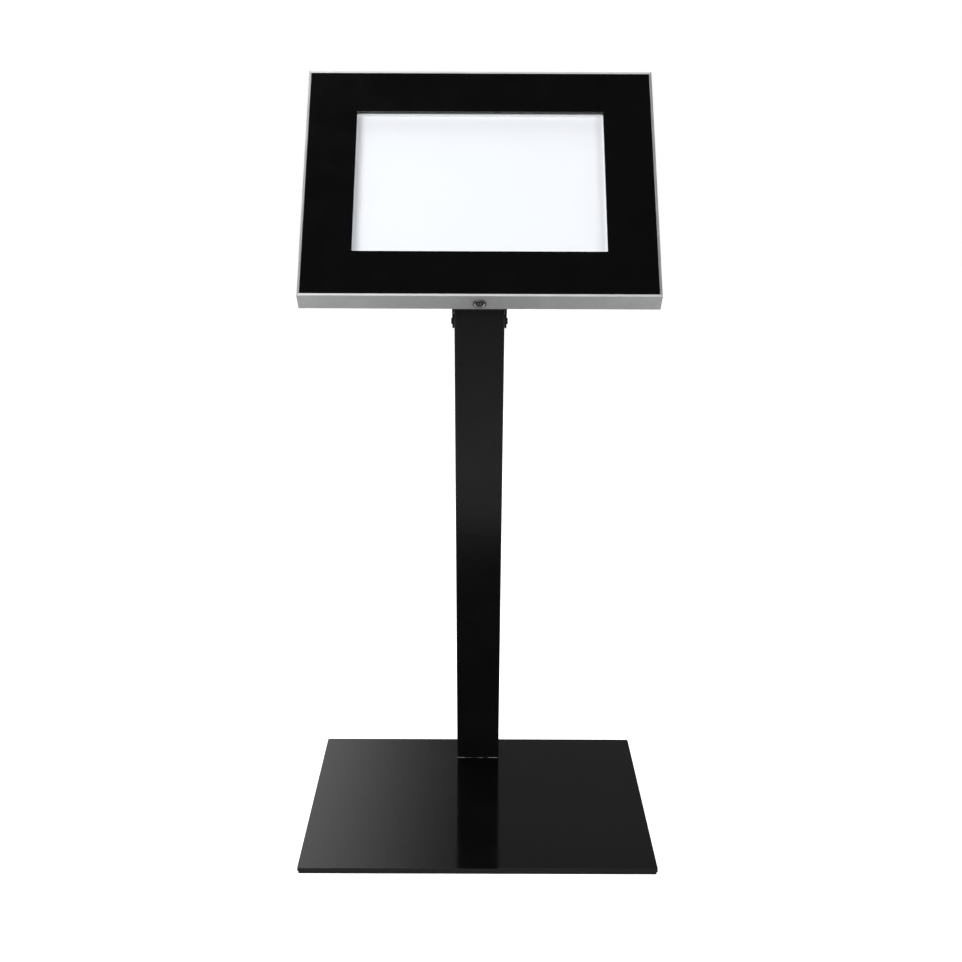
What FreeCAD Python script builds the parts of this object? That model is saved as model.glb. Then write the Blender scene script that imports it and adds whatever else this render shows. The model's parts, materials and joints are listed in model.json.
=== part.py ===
import FreeCAD, Part
import math
import os
from FreeCAD import Placement, Rotation, Vector

# Sign stand: a leaning square-cut column on a flat steel base carries a shallow,
# glazed sign case that tilts on two side bolts and opens upwards behind a cam lock.
# Millimetres.  +X is to the viewer's right, -Y faces the viewer, +Z is up.
# The origin is the centre of the base's underside.

# ---------------------------------------------------------------- base
BASE_WIDTH = 450.0
BASE_DEPTH = 450.0
PLATE_THICK = 5.0
PLATE_CORNER_R = 3.0
PLATE_EDGE_BREAK = 0.6
UNDERLAY_THICK = 3.0
UNDERLAY_INSET = 1.5
BASE_TOP = UNDERLAY_THICK + PLATE_THICK

# ---------------------------------------------------------------- column
COLUMN_LEAN = 25.5            # degrees forward of upright
COLUMN_FOOT_Y = 171.0         # where the column's axis meets the base
COLUMN_WIDTH = 60.0
COLUMN_DEPTH = 40.0
COLUMN_WALL = 2.0
COLUMN_CORNER_R = 2.0
PIVOT_ALONG = 748.0           # foot to tilt pivot, along the column
TOP_ABOVE_PIVOT = 30.0        # tilt pivot to the top of the cap, along the column
CAP_THICK = 3.0
CAP_SKIRT = 12.0
GASKET_THICK = 0.8
PLUG_HEIGHT = 45.0
FOOT_SCREW_X = 15.0
FOOT_SCREW_Y = COLUMN_FOOT_Y - 4.0
FOOT_SCREW_R = 4.0
FOOT_SCREW_LENGTH = 25.0
SET_SCREW_X = 15.0
SET_SCREW_UP = 30.0
SET_SCREW_R = 2.5

# ---------------------------------------------------------------- tilt pivot
PIVOT_SHOULDER_R = 2.5
PIVOT_THREAD_R = 2.0
PIVOT_HEAD_R = 4.0
PIVOT_HEAD_THICK = 1.5
WASHER_THICK = 0.5
WASHER_R = 8.0
EAR_GAP = 0.05                # running gap beside each bracket ear
EAR_THICK = 2.0
EAR_END_R = 9.0
INSERT_R = 3.5
INSERT_LENGTH = 14.0

# ---------------------------------------------------------------- sign case
CASE_TILT = 52.0              # degrees from horizontal
CASE_WIDTH = 426.0
CASE_HEIGHT = 328.0           # measured up the slope
CASE_DEPTH = 29.0
RIM = 3.0
PIVOT_UP = 12.5               # case's lower edge to the pivot, up the slope
PIVOT_BACK = 47.0             # case's back to the pivot, square to the back
FLANGE_REACH = 12.0
LIP_REACH = 10.0
LIP_FRONT = 16.0              # depth of the inner lip's front face
LIP_THICK = 1.5
BACK_THICK = 2.0
RAIL_CHAMFER = 0.4
BRACKET_LOW = 3.0
BRACKET_HIGH = 95.0
BRACKET_EAR_HIGH = 70.0
BRACKET_BOLT_X = 20.0
BRACKET_BOLT_UP = (38.0, 82.0)
STANDOFF_X = 140.0
STANDOFF_UP = (70.0, 250.0)

# ---------------------------------------------------------------- door and what it shows
DOOR_GAP = 0.5
DOOR_THICK = 4.0
BORDER = 62.0                 # black margin, from the case's outer edge to the window
WINDOW_R = 1.5
HINGE_BELOW_TOP = 11.0
HINGE_PIN_R = 1.0
HINGE_PIN_LENGTH = 10.3
HINGE_PIN_COVER = 1.0         # side rail's metal left outside the pin's seat
HINGE_RUNNING = 0.05
TAPE_THICK = 0.5
GLASS_THICK = 2.0
GLASS_OVERLAP = 12.0
SPACER_FRONT = 7.0            # depth of the white mount's front face
SPACER_THICK = 4.3
SHEET_THICK = 1.0
BOARD_THICK = 3.0
BOARD_WIDTH = 390.0
BOARD_HEIGHT = 250.0

# ---------------------------------------------------------------- lock
LOCK_DEPTH = 16.0             # lock axis behind the case's front face
LOCK_FACE_R = 8.0
LOCK_FACE_THICK = 2.0
LOCK_BODY_R = 6.0
LOCK_BODY_LENGTH = 20.0
PLUG_R = 4.5
LOCK_RUNNING = 0.05
CAM_THICK = 2.0
CAM_HALF = 5.0
CAM_REACH = 11.0
KEEPER_SHEET = 1.5
KEEPER_LEFT = 7.0
KEEPER_RIGHT = 17.0
NOTCH_HALF = 24.0

DOOR_LOW = RIM + DOOR_GAP
DOOR_HIGH = CASE_HEIGHT - DOOR_LOW
HINGE_UP = DOOR_HIGH - HINGE_BELOW_TOP
HINGE_DEPTH = DOOR_THICK / 2
WINDOW_WIDTH = CASE_WIDTH - 2 * BORDER
WINDOW_HEIGHT = CASE_HEIGHT - 2 * BORDER
CASE_MIDDLE = CASE_HEIGHT / 2
WEB_BACK = CASE_DEPTH + EAR_THICK
EAR_INNER = COLUMN_WIDTH / 2 + WASHER_THICK + EAR_GAP
EAR_OUTER = EAR_INNER + EAR_THICK
COLUMN_TOP = PIVOT_ALONG + TOP_ABOVE_PIVOT

UP = Vector(0, 0, 1)
RIGHT = Vector(1, 0, 0)
ALONG = Vector(0, 1, 0)

# The column's own frame: origin on its axis at the base's top, +Z up the column.
COLUMN_FRAME = Placement(Vector(0, COLUMN_FOOT_Y, BASE_TOP), Rotation(RIGHT, COLUMN_LEAN))
PIVOT = COLUMN_FRAME.multVec(Vector(0, 0, PIVOT_ALONG))

# The case's own frame: +Y up the slope from the lower edge, +Z out of the front face.
CASE_TURN = Rotation(RIGHT, CASE_TILT)
PIVOT_IN_CASE = Vector(0, PIVOT_UP, -(CASE_DEPTH + PIVOT_BACK))
CASE_FRAME = Placement(PIVOT - CASE_TURN.multVec(PIVOT_IN_CASE), CASE_TURN)


# ---------------------------------------------------------------- shared shapes
def block(x0, x1, y0, y1, z0, z1):
    """A plain block between two corners."""
    return Part.makeBox(x1 - x0, y1 - y0, z1 - z0, Vector(x0, y0, z0))


def rounded_block(width, depth, z0, z1, radius, middle_y=0.0):
    """A block centred on X = 0 and Y = middle_y with its four upright edges rounded."""
    half_w = width / 2
    half_d = depth / 2
    body = block(-half_w, half_w, middle_y - half_d, middle_y + half_d, z0, z1)
    upright = [edge for edge in body.Edges if abs(edge.tangentAt(edge.FirstParameter).z) > 0.99]
    return body.makeFillet(radius, upright)


def rod(start, direction, radius, length):
    return Part.makeCylinder(radius, length, Vector(*start), Vector(direction))


def cone(start, direction, radius_start, radius_end, length):
    return Part.makeCone(radius_start, radius_end, length, Vector(*start), Vector(direction))


def hexagon(start, direction, across_flats, length):
    """A hexagonal bar from start along direction."""
    corner = across_flats / 2 / math.cos(math.radians(30))
    points = [Vector(corner * math.cos(math.radians(60 * i)), corner * math.sin(math.radians(60 * i)), 0)
              for i in range(7)]
    bar = Part.Face(Part.makePolygon(points)).extrude(Vector(0, 0, length))
    bar.Placement = Placement(Vector(*start), Rotation(UP, Vector(direction)))
    return bar


def fuse(shapes):
    joined = shapes[0].multiFuse(shapes[1:]) if len(shapes) > 1 else shapes[0]
    return joined.removeSplitter()


def mirrored_pair(shape):
    """The shape and its mirror image across the stand's middle plane."""
    return shape, shape.mirror(Vector(0, 0, 0), RIGHT)


def edges_at_height(shape, height):
    """Edges that lie wholly at one height."""
    return [edge for edge in shape.Edges
            if abs(edge.BoundBox.ZMin - height) < 1e-6 and abs(edge.BoundBox.ZMax - height) < 1e-6]


def countersunk_screw(start, direction, radius, head_radius, length, socket):
    """A flat-headed socket screw.  Start is the centre of the head's face."""
    head_length = head_radius - radius
    way = Vector(direction)
    head = cone(start, way, head_radius, radius, head_length)
    shank = rod(start, way, radius, length)
    drive = hexagon(start, way, socket, head_length * 0.6)
    return fuse([head, shank]).cut(drive)


def countersink(start, direction, radius, head_radius, length):
    """The hole that a countersunk screw of that size passes through."""
    clearance = 0.1
    way = Vector(direction)
    mouth = cone(start, way, head_radius + clearance, radius + clearance, head_radius - radius)
    return mouth.fuse(rod(start, way, radius + clearance, length))


def button_screw(seat, direction, head_radius, head_thick, radius, length, socket):
    """A low domed screw.  Seat is under the head and direction is the way it screws in."""
    way = Vector(direction)
    face = Vector(*seat) - way * head_thick
    head = Part.makeCylinder(head_radius, head_thick, face, way)
    rim = [edge for edge in head.Edges
           if edge.Closed and edge.CenterOfMass.distanceToPoint(face) < 1e-6]
    head = head.makeFillet(head_thick * 0.55, rim)
    shank = rod(seat, way, radius, length)
    drive = hexagon((face.x, face.y, face.z), way, socket, head_thick * 0.7)
    return fuse([head, shank]).cut(drive)


# ---------------------------------------------------------------- base
def foot_screw_places():
    return [(-FOOT_SCREW_X, FOOT_SCREW_Y), (FOOT_SCREW_X, FOOT_SCREW_Y)]


def base_plate():
    plate = rounded_block(BASE_WIDTH, BASE_DEPTH, UNDERLAY_THICK, BASE_TOP, PLATE_CORNER_R)
    plate = plate.makeChamfer(PLATE_EDGE_BREAK, edges_at_height(plate, BASE_TOP))
    for x, y in foot_screw_places():
        hole = countersink((x, y, UNDERLAY_THICK), UP, FOOT_SCREW_R, 2 * FOOT_SCREW_R, PLATE_THICK + 1)
        plate = plate.cut(hole)
    return plate


def base_underlay():
    width = BASE_WIDTH - 2 * UNDERLAY_INSET
    depth = BASE_DEPTH - 2 * UNDERLAY_INSET
    sheet = rounded_block(width, depth, 0, UNDERLAY_THICK, PLATE_CORNER_R - UNDERLAY_INSET)
    for x, y in foot_screw_places():
        sheet = sheet.cut(rod((x, y, -1), UP, 2.5 * FOOT_SCREW_R, UNDERLAY_THICK + 2))
    return sheet


def foot_screw(x, y):
    sunk = 0.1
    return countersunk_screw((x, y, UNDERLAY_THICK + sunk), UP, FOOT_SCREW_R, 2 * FOOT_SCREW_R,
                             FOOT_SCREW_LENGTH, 5.0)


# ---------------------------------------------------------------- column
def above_gasket(shape):
    """The shape in the stand's frame, cut off level on top of the foot gasket."""
    placed = shape.copy()
    placed.Placement = COLUMN_FRAME
    reach = 200.0
    below = block(-reach, reach, COLUMN_FOOT_Y - reach, COLUMN_FOOT_Y + reach,
                  BASE_TOP - reach, BASE_TOP + GASKET_THICK)
    return placed.cut(below)


def column_inside(z0, z1, clearance):
    return rounded_block(COLUMN_WIDTH - 2 * COLUMN_WALL - 2 * clearance,
                         COLUMN_DEPTH - 2 * COLUMN_WALL - 2 * clearance, z0, z1, 0.8)


def column_tube():
    run_out = 20.0
    tube_top = COLUMN_TOP - CAP_THICK
    outer = rounded_block(COLUMN_WIDTH, COLUMN_DEPTH, -run_out, tube_top, COLUMN_CORNER_R)
    tube = outer.cut(column_inside(-run_out - 1, tube_top + 1, 0.0))
    across = rod((-COLUMN_WIDTH, 0, PIVOT_ALONG), RIGHT, INSERT_R + 0.05, 2 * COLUMN_WIDTH)
    tube = tube.cut(across)
    for x in (-SET_SCREW_X, SET_SCREW_X):
        tube = tube.cut(rod((x, 5, SET_SCREW_UP), ALONG, SET_SCREW_R + 0.2, COLUMN_DEPTH))
    return above_gasket(tube)


def foot_gasket():
    depth = COLUMN_DEPTH / math.cos(math.radians(COLUMN_LEAN))
    pad = rounded_block(COLUMN_WIDTH, depth, BASE_TOP, BASE_TOP + GASKET_THICK, COLUMN_CORNER_R,
                        COLUMN_FOOT_Y)
    for x, y in foot_screw_places():
        pad = pad.cut(rod((x, y, BASE_TOP - 1), UP, FOOT_SCREW_R + 0.5, GASKET_THICK + 2))
    return pad


def foot_plug():
    """A solid steel plug inside the column's foot, tapped for the foot and set screws."""
    plug = column_inside(-20.0, PLUG_HEIGHT, 0.05)
    for x in (-SET_SCREW_X, SET_SCREW_X):
        plug = plug.cut(rod((x, 6, SET_SCREW_UP), ALONG, SET_SCREW_R + 0.05, COLUMN_DEPTH))
    plug = above_gasket(plug)
    for x, y in foot_screw_places():
        plug = plug.cut(rod((x, y, 0), UP, FOOT_SCREW_R + 0.05, UNDERLAY_THICK + FOOT_SCREW_LENGTH + 2))
    return plug


def set_screw(x):
    seat = (x, COLUMN_DEPTH / 2, SET_SCREW_UP)
    screw = button_screw(seat, -ALONG, 4.5, 2.2, SET_SCREW_R, 12.0, 3.0)
    screw.Placement = COLUMN_FRAME.multiply(screw.Placement)
    return screw


def column_cap():
    tube_top = COLUMN_TOP - CAP_THICK
    lid = rounded_block(COLUMN_WIDTH, COLUMN_DEPTH, tube_top, COLUMN_TOP, COLUMN_CORNER_R)
    lid = lid.makeFillet(1.0, edges_at_height(lid, COLUMN_TOP))
    skirt = column_inside(tube_top - CAP_SKIRT, tube_top, 0.1)
    hollow = rounded_block(COLUMN_WIDTH - 4 * COLUMN_WALL, COLUMN_DEPTH - 4 * COLUMN_WALL,
                           tube_top - CAP_SKIRT - 1, tube_top, 0.8)
    cap = fuse([lid, skirt.cut(hollow)])
    cap.Placement = COLUMN_FRAME
    return cap


# ---------------------------------------------------------------- tilt pivot, right-hand side
def pivot_insert():
    """A blind-rivet nut, flush in the column's side wall."""
    outer = COLUMN_WIDTH / 2
    wall = outer - COLUMN_WALL
    barrel = rod((outer - INSERT_LENGTH, 0, PIVOT_ALONG), RIGHT, INSERT_R, INSERT_LENGTH)
    bulge = rod((wall - 3.5, 0, PIVOT_ALONG), RIGHT, INSERT_R + 1.5, 3.5)
    insert = fuse([barrel, bulge])
    thread = rod((0, 0, PIVOT_ALONG), RIGHT, PIVOT_THREAD_R + 0.05, COLUMN_WIDTH)
    return insert.cut(thread)


def friction_washer():
    outer = COLUMN_WIDTH / 2
    disc = rod((outer, 0, PIVOT_ALONG), RIGHT, WASHER_R, WASHER_THICK)
    return disc.cut(rod((outer - 1, 0, PIVOT_ALONG), RIGHT, PIVOT_SHOULDER_R + 0.1, WASHER_THICK + 2))


def pivot_bolt():
    """A shoulder bolt: the bracket's ear turns on the shoulder."""
    seat = EAR_OUTER + EAR_GAP
    shoulder_end = COLUMN_WIDTH / 2
    bolt = button_screw((seat, 0, PIVOT_ALONG), -RIGHT, PIVOT_HEAD_R, PIVOT_HEAD_THICK,
                        PIVOT_THREAD_R, seat - shoulder_end + INSERT_LENGTH - 2, 2.5)
    shoulder = rod((shoulder_end, 0, PIVOT_ALONG), RIGHT, PIVOT_SHOULDER_R, seat - shoulder_end)
    return fuse([bolt, shoulder])


def on_column(shape):
    placed = shape.copy()
    placed.Placement = COLUMN_FRAME.multiply(placed.Placement)
    return placed


# ---------------------------------------------------------------- bracket under the case
def tangent_point(point, centre, radius, side):
    """Where a straight line from point touches the circle, on the side +1 or -1."""
    offset = point - centre
    swing = math.acos(radius / offset.Length)
    angle = math.atan2(offset.z, offset.y) + side * swing
    return centre + Vector(0, math.cos(angle), math.sin(angle)) * radius, angle


def bracket_ear(x):
    centre = Vector(x, PIVOT_UP, -(CASE_DEPTH + PIVOT_BACK))
    low = Vector(x, BRACKET_LOW, -CASE_DEPTH)
    high = Vector(x, BRACKET_EAR_HIGH, -CASE_DEPTH)
    touch_low, angle_low = tangent_point(low, centre, EAR_END_R, 1)
    touch_high, angle_high = tangent_point(high, centre, EAR_END_R, -1)
    middle = (angle_low - 2 * math.pi + angle_high) / 2
    bottom = centre + Vector(0, math.cos(middle), math.sin(middle)) * EAR_END_R
    outline = Part.Wire([Part.LineSegment(low, high).toShape(),
                         Part.LineSegment(high, touch_high).toShape(),
                         Part.Arc(touch_high, bottom, touch_low).toShape(),
                         Part.LineSegment(touch_low, low).toShape()])
    return Part.Face(outline).extrude(Vector(EAR_THICK, 0, 0))


def tilt_bracket():
    """A folded U: its web is bolted to the case's back and its ears straddle the column."""
    web = block(-EAR_OUTER, EAR_OUTER, BRACKET_LOW, BRACKET_HIGH, -WEB_BACK, -CASE_DEPTH)
    body = fuse([web, bracket_ear(EAR_INNER), bracket_ear(-EAR_OUTER)])
    folds = [edge for edge in body.Edges
             if abs(abs(edge.CenterOfMass.x) - EAR_OUTER) < 1e-6
             and abs(edge.CenterOfMass.z + CASE_DEPTH) < 1e-6 and edge.Length > 50]
    body = body.makeFillet(EAR_THICK * 0.9, folds)
    shaft = rod((-50, PIVOT_UP, -(CASE_DEPTH + PIVOT_BACK)), RIGHT, PIVOT_SHOULDER_R + 0.05, 100)
    body = body.cut(shaft)
    for x in (-BRACKET_BOLT_X, BRACKET_BOLT_X):
        for up in BRACKET_BOLT_UP:
            body = body.cut(rod((x, up, -WEB_BACK - 1), UP, 2.75, EAR_THICK + 2))
    return body


def bracket_bolt(x, up):
    return button_screw((x, up, -WEB_BACK), UP, 4.75, 2.75, 2.5, 9.0, 3.0)


def bracket_nut(x, up):
    front_of_back = CASE_DEPTH - BACK_THICK
    nut = hexagon((x, up, -front_of_back), UP, 8.0, 4.0)
    return nut.cut(rod((x, up, -front_of_back - 1), UP, 2.55, 6.0))


# ---------------------------------------------------------------- case frame
def rail_bar(length):
    """One frame rail along X: outer wall, rear flange and inner lip, mitred at both ends."""
    half = length / 2
    c = RAIL_CHAMFER
    flange_front = -(CASE_DEPTH - BACK_THICK - 2.0)
    flange_back = -(CASE_DEPTH - BACK_THICK)
    lip_back = -(LIP_FRONT + LIP_THICK)
    outline = [(0, -c), (c, 0), (RIM - 0.2, 0), (RIM, -0.2),
               (RIM, -LIP_FRONT), (RIM + LIP_REACH, -LIP_FRONT),
               (RIM + LIP_REACH, lip_back), (RIM, lip_back),
               (RIM, flange_front), (RIM + FLANGE_REACH, flange_front),
               (RIM + FLANGE_REACH, flange_back), (RIM, flange_back),
               (RIM, -CASE_DEPTH), (c, -CASE_DEPTH), (0, -CASE_DEPTH + c)]
    points = [Vector(-half, y, z) for y, z in outline]
    bar = Part.Face(Part.makePolygon(points + points[:1])).extrude(Vector(length, 0, 0))
    reach = 30.0
    mitre = [Vector(-half, 0, 1), Vector(half, 0, 1), Vector(half - reach, reach, 1),
             Vector(-half + reach, reach, 1), Vector(-half, 0, 1)]
    keep = Part.Face(Part.makePolygon(mitre)).extrude(Vector(0, 0, -CASE_DEPTH - 2))
    return bar.common(keep)


def turned_rail(length, x, y, angle):
    bar = rail_bar(length)
    bar.Placement = Placement(Vector(x, y, 0), Rotation(UP, angle))
    return bar


def panel_screw_places():
    """Screws that hold the back panel to the rails' rear flanges."""
    inset = RIM + FLANGE_REACH / 2
    across = CASE_WIDTH / 2 - inset
    along = 150.0
    up = (CASE_HEIGHT * 0.25, CASE_HEIGHT * 0.75)
    ends = [(x, y) for x in (-along, along) for y in (inset, CASE_HEIGHT - inset)]
    return ends + [(x, y) for x in (-across, across) for y in up]


def drilled_for_panel_screws(rail):
    for x, y in panel_screw_places():
        rail = rail.cut(rod((x, y, -CASE_DEPTH), UP, 1.55, 8.0))
    return rail


def bottom_rail():
    rail = drilled_for_panel_screws(turned_rail(CASE_WIDTH, 0, 0, 0))
    notch = block(-NOTCH_HALF, NOTCH_HALF, RIM, RIM + FLANGE_REACH + 1, -CASE_DEPTH + BACK_THICK, 0)
    rail = rail.cut(notch)
    return rail.cut(rod((0, -1, -LOCK_DEPTH), ALONG, LOCK_BODY_R + 0.1, RIM + 2))


def top_rail():
    return drilled_for_panel_screws(turned_rail(CASE_WIDTH, 0, CASE_HEIGHT, 180))


def right_rail():
    rail = drilled_for_panel_screws(turned_rail(CASE_HEIGHT, CASE_WIDTH / 2, CASE_MIDDLE, 90))
    seat_end = CASE_WIDTH / 2 - HINGE_PIN_COVER
    pin_seat = rod((seat_end - RIM, HINGE_UP, -HINGE_DEPTH), RIGHT, HINGE_PIN_R, RIM)
    return rail.cut(pin_seat)


def corner_key():
    """An L-shaped key in the channel between lip and flange, lower right corner."""
    leg = 35.0
    thick = LIP_REACH - 1.0
    front = -(LIP_FRONT + LIP_THICK + 0.1)
    back = -(CASE_DEPTH - BACK_THICK - 2.0 - 0.1)
    x1 = CASE_WIDTH / 2 - RIM - 0.1
    y0 = RIM + 0.1
    foot = block(x1 - leg, x1, y0, y0 + thick, back, front)
    post = block(x1 - thick, x1, y0, y0 + leg, back, front)
    return fuse([foot, post])


def corner_keys():
    lower = mirrored_pair(corner_key())
    upper = [key.mirror(Vector(0, CASE_MIDDLE, 0), ALONG) for key in lower]
    return list(lower) + upper


def back_panel():
    slack = 0.2
    panel = rounded_block(CASE_WIDTH - 2 * RIM - 2 * slack, CASE_HEIGHT - 2 * RIM - 2 * slack,
                          -CASE_DEPTH, -CASE_DEPTH + BACK_THICK, 1.0, CASE_MIDDLE)
    for x, y in panel_screw_places():
        panel = panel.cut(countersink((x, y, -CASE_DEPTH), UP, 1.5, 2.8, BACK_THICK + 1))
    for x in (-BRACKET_BOLT_X, BRACKET_BOLT_X):
        for up in BRACKET_BOLT_UP:
            panel = panel.cut(rod((x, up, -CASE_DEPTH - 1), UP, 2.75, BACK_THICK + 2))
    for x, y in standoff_places():
        panel = panel.cut(countersink((x, y, -CASE_DEPTH), UP, 2.0, 3.8, BACK_THICK + 1))
    return panel


def back_panel_screws():
    return [countersunk_screw((x, y, -CASE_DEPTH + 0.05), UP, 1.5, 2.8, 8.0, 1.8)
            for x, y in panel_screw_places()]


# ---------------------------------------------------------------- sign package in the case
def standoff_places():
    return [(x, up) for x in (-STANDOFF_X, STANDOFF_X) for up in STANDOFF_UP]


SHEET_FRONT = SPACER_FRONT + SPACER_THICK
BOARD_FRONT = SHEET_FRONT + SHEET_THICK
BOARD_REAR = BOARD_FRONT + BOARD_THICK


def standoffs():
    rear = CASE_DEPTH - BACK_THICK
    pillars = []
    for x, y in standoff_places():
        pillar = hexagon((x, y, -rear), UP, 8.0, rear - BOARD_REAR)
        pillars.append(pillar.cut(rod((x, y, -rear - 1), UP, 2.05, rear)))
    return pillars


def standoff_screws():
    rear = [countersunk_screw((x, y, -CASE_DEPTH + 0.05), UP, 2.0, 3.8, 7.0, 2.5)
            for x, y in standoff_places()]
    front = [countersunk_screw((x, y, -BOARD_FRONT - 0.05), -UP, 2.0, 3.8, 7.0, 2.5)
             for x, y in standoff_places()]
    return rear + front


def backing_board():
    board = rounded_block(BOARD_WIDTH, BOARD_HEIGHT, -BOARD_REAR, -BOARD_FRONT, 2.0, CASE_MIDDLE)
    for x, y in standoff_places():
        board = board.cut(countersink((x, y, -BOARD_FRONT), -UP, 2.0, 3.8, BOARD_THICK + 1))
    return board


def sign_sheet():
    return rounded_block(BOARD_WIDTH, BOARD_HEIGHT, -BOARD_FRONT, -SHEET_FRONT, 2.0, CASE_MIDDLE)


def white_mount():
    """The white window mount that stands between the sign sheet and the glazing."""
    body = rounded_block(BOARD_WIDTH, BOARD_HEIGHT, -SHEET_FRONT, -SPACER_FRONT, 2.0, CASE_MIDDLE)
    hole = rounded_block(WINDOW_WIDTH + 1, WINDOW_HEIGHT + 1, -SHEET_FRONT - 1, -SPACER_FRONT + 1,
                         WINDOW_R + 0.5, CASE_MIDDLE)
    return body.cut(hole)


def door_bumpers():
    """Rubber studs on the bottom rail's lip, behind the closed door."""
    post = rod((170.0, RIM + LIP_REACH / 2, -LIP_FRONT), UP, 4.0, LIP_FRONT - DOOR_THICK - 0.3)
    return list(mirrored_pair(post))


# ---------------------------------------------------------------- door
def hinge_pin():
    """Right-hand pin, pressed into the side rail and reaching into the door's edge."""
    outer = CASE_WIDTH / 2 - HINGE_PIN_COVER - 0.2
    start = outer - HINGE_PIN_LENGTH
    return rod((start, HINGE_UP, -HINGE_DEPTH), RIGHT, HINGE_PIN_R, HINGE_PIN_LENGTH)


def door_panel():
    width = CASE_WIDTH - 2 * DOOR_LOW
    panel = rounded_block(width, DOOR_HIGH - DOOR_LOW, -DOOR_THICK, 0, 1.0, CASE_MIDDLE)
    panel = panel.makeChamfer(0.3, edges_at_height(panel, 0))
    window = rounded_block(WINDOW_WIDTH, WINDOW_HEIGHT, -DOOR_THICK - 1, 1, WINDOW_R, CASE_MIDDLE)
    panel = panel.cut(window)
    bore_depth = 9.0
    for side in (-1, 1):
        start = (side * (width / 2 + 1), HINGE_UP, -HINGE_DEPTH)
        panel = panel.cut(rod(start, RIGHT * -side, HINGE_PIN_R + HINGE_RUNNING, bore_depth + 1))
    for x, y in keeper_screw_places():
        panel = panel.cut(rod((x, y, -DOOR_THICK - 1), UP, 1.55, 4.0))
    return panel


def window_ring(inner_margin, outer_margin, back, front):
    """A flat ring round the window, between two margins outside its edge."""
    ring = rounded_block(WINDOW_WIDTH + 2 * outer_margin, WINDOW_HEIGHT + 2 * outer_margin,
                         -back, -front, 2.0, CASE_MIDDLE)
    hole = rounded_block(WINDOW_WIDTH + 2 * inner_margin, WINDOW_HEIGHT + 2 * inner_margin,
                         -back - 1, -front + 1, 2.0, CASE_MIDDLE)
    return ring.cut(hole)


def glazing_tape():
    return window_ring(2.0, GLASS_OVERLAP, DOOR_THICK + TAPE_THICK, DOOR_THICK)


def glazing():
    front = DOOR_THICK + TAPE_THICK
    return rounded_block(WINDOW_WIDTH + 2 * GLASS_OVERLAP, WINDOW_HEIGHT + 2 * GLASS_OVERLAP,
                         -front - GLASS_THICK, -front, 2.0, CASE_MIDDLE)


def keeper_screw_places():
    middle = (KEEPER_LEFT + KEEPER_RIGHT) / 2
    return [(middle, 31.0), (middle, 40.0)]


def door_keeper():
    """A folded hook on the back of the door: the turned cam lies in front of its lip."""
    leg_low = LOCK_BODY_LENGTH + 4.0
    lip_front = LOCK_DEPTH + CAM_HALF + 0.4
    lip_back = lip_front + KEEPER_SHEET
    flange = block(KEEPER_LEFT, KEEPER_RIGHT, leg_low, 45.0, -DOOR_THICK - KEEPER_SHEET, -DOOR_THICK)
    leg = block(KEEPER_LEFT, KEEPER_RIGHT, leg_low, leg_low + KEEPER_SHEET, -lip_back, -DOOR_THICK)
    lip = block(KEEPER_LEFT, KEEPER_RIGHT, leg_low - 9.0, leg_low + KEEPER_SHEET, -lip_back, -lip_front)
    hook = fuse([flange, leg, lip])
    for x, y in keeper_screw_places():
        hook = hook.cut(rod((x, y, -DOOR_THICK - KEEPER_SHEET - 1), UP, 1.6, 4.0))
    return hook


def keeper_screws():
    seat = -DOOR_THICK - KEEPER_SHEET
    return [button_screw((x, y, seat), UP, 2.8, 1.2, 1.5, KEEPER_SHEET + 2.8, 1.8)
            for x, y in keeper_screw_places()]


# ---------------------------------------------------------------- cam lock in the bottom rail
def lock_rod(start, radius, length):
    return rod((0, start, -LOCK_DEPTH), ALONG, radius, length)


def lock_housing():
    face = rod((0, -LOCK_FACE_THICK, -LOCK_DEPTH), ALONG, LOCK_FACE_R, LOCK_FACE_THICK)
    rim = [edge for edge in face.Edges
           if edge.Closed and abs(edge.CenterOfMass.y + LOCK_FACE_THICK) < 1e-6]
    face = face.makeFillet(0.8, rim)
    body = fuse([face, lock_rod(0, LOCK_BODY_R, LOCK_BODY_LENGTH)])
    dish = cone((0, -LOCK_FACE_THICK, -LOCK_DEPTH), ALONG, LOCK_FACE_R - 1.6, PLUG_R + 0.3, 1.0)
    bore = lock_rod(-LOCK_FACE_THICK - 1, PLUG_R + LOCK_RUNNING, LOCK_BODY_LENGTH + 4)
    return body.cut(dish).cut(bore)


def lock_nut():
    nut = hexagon((0, RIM, -LOCK_DEPTH), ALONG, 16.0, 4.0)
    return nut.cut(lock_rod(RIM - 1, LOCK_BODY_R + 0.05, 6.0))


def lock_tail(half, start, end):
    """The square tail that drives the cam."""
    return block(-half, half, start, end, -LOCK_DEPTH - half, -LOCK_DEPTH + half)


CAM_START = LOCK_BODY_LENGTH + 0.6


def lock_core():
    barrel_end = LOCK_BODY_LENGTH + 0.3
    barrel = lock_rod(-LOCK_FACE_THICK + 1.0, PLUG_R, barrel_end + LOCK_FACE_THICK - 1.0)
    core = fuse([barrel, lock_tail(3.0, barrel_end - 1, CAM_START + CAM_THICK - 0.1)])
    slot = block(-0.5, 0.5, -LOCK_FACE_THICK, 8.0, -LOCK_DEPTH - 2.6, -LOCK_DEPTH + 2.6)
    return core.cut(slot).cut(lock_rod(13.0, 1.55, 20.0))


def lock_cam():
    """The cam in its open position, pointing to the case's front."""
    hub = lock_rod(CAM_START, CAM_HALF + 1.0, CAM_THICK)
    tip_centre = -LOCK_DEPTH + CAM_REACH - CAM_HALF
    arm = block(-CAM_HALF, CAM_HALF, CAM_START, CAM_START + CAM_THICK, -LOCK_DEPTH, tip_centre)
    tip = rod((0, CAM_START, tip_centre), ALONG, CAM_HALF, CAM_THICK)
    cam = fuse([hub, arm, tip])
    return cam.cut(lock_tail(3.05, CAM_START - 1, CAM_START + CAM_THICK + 1))


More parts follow.
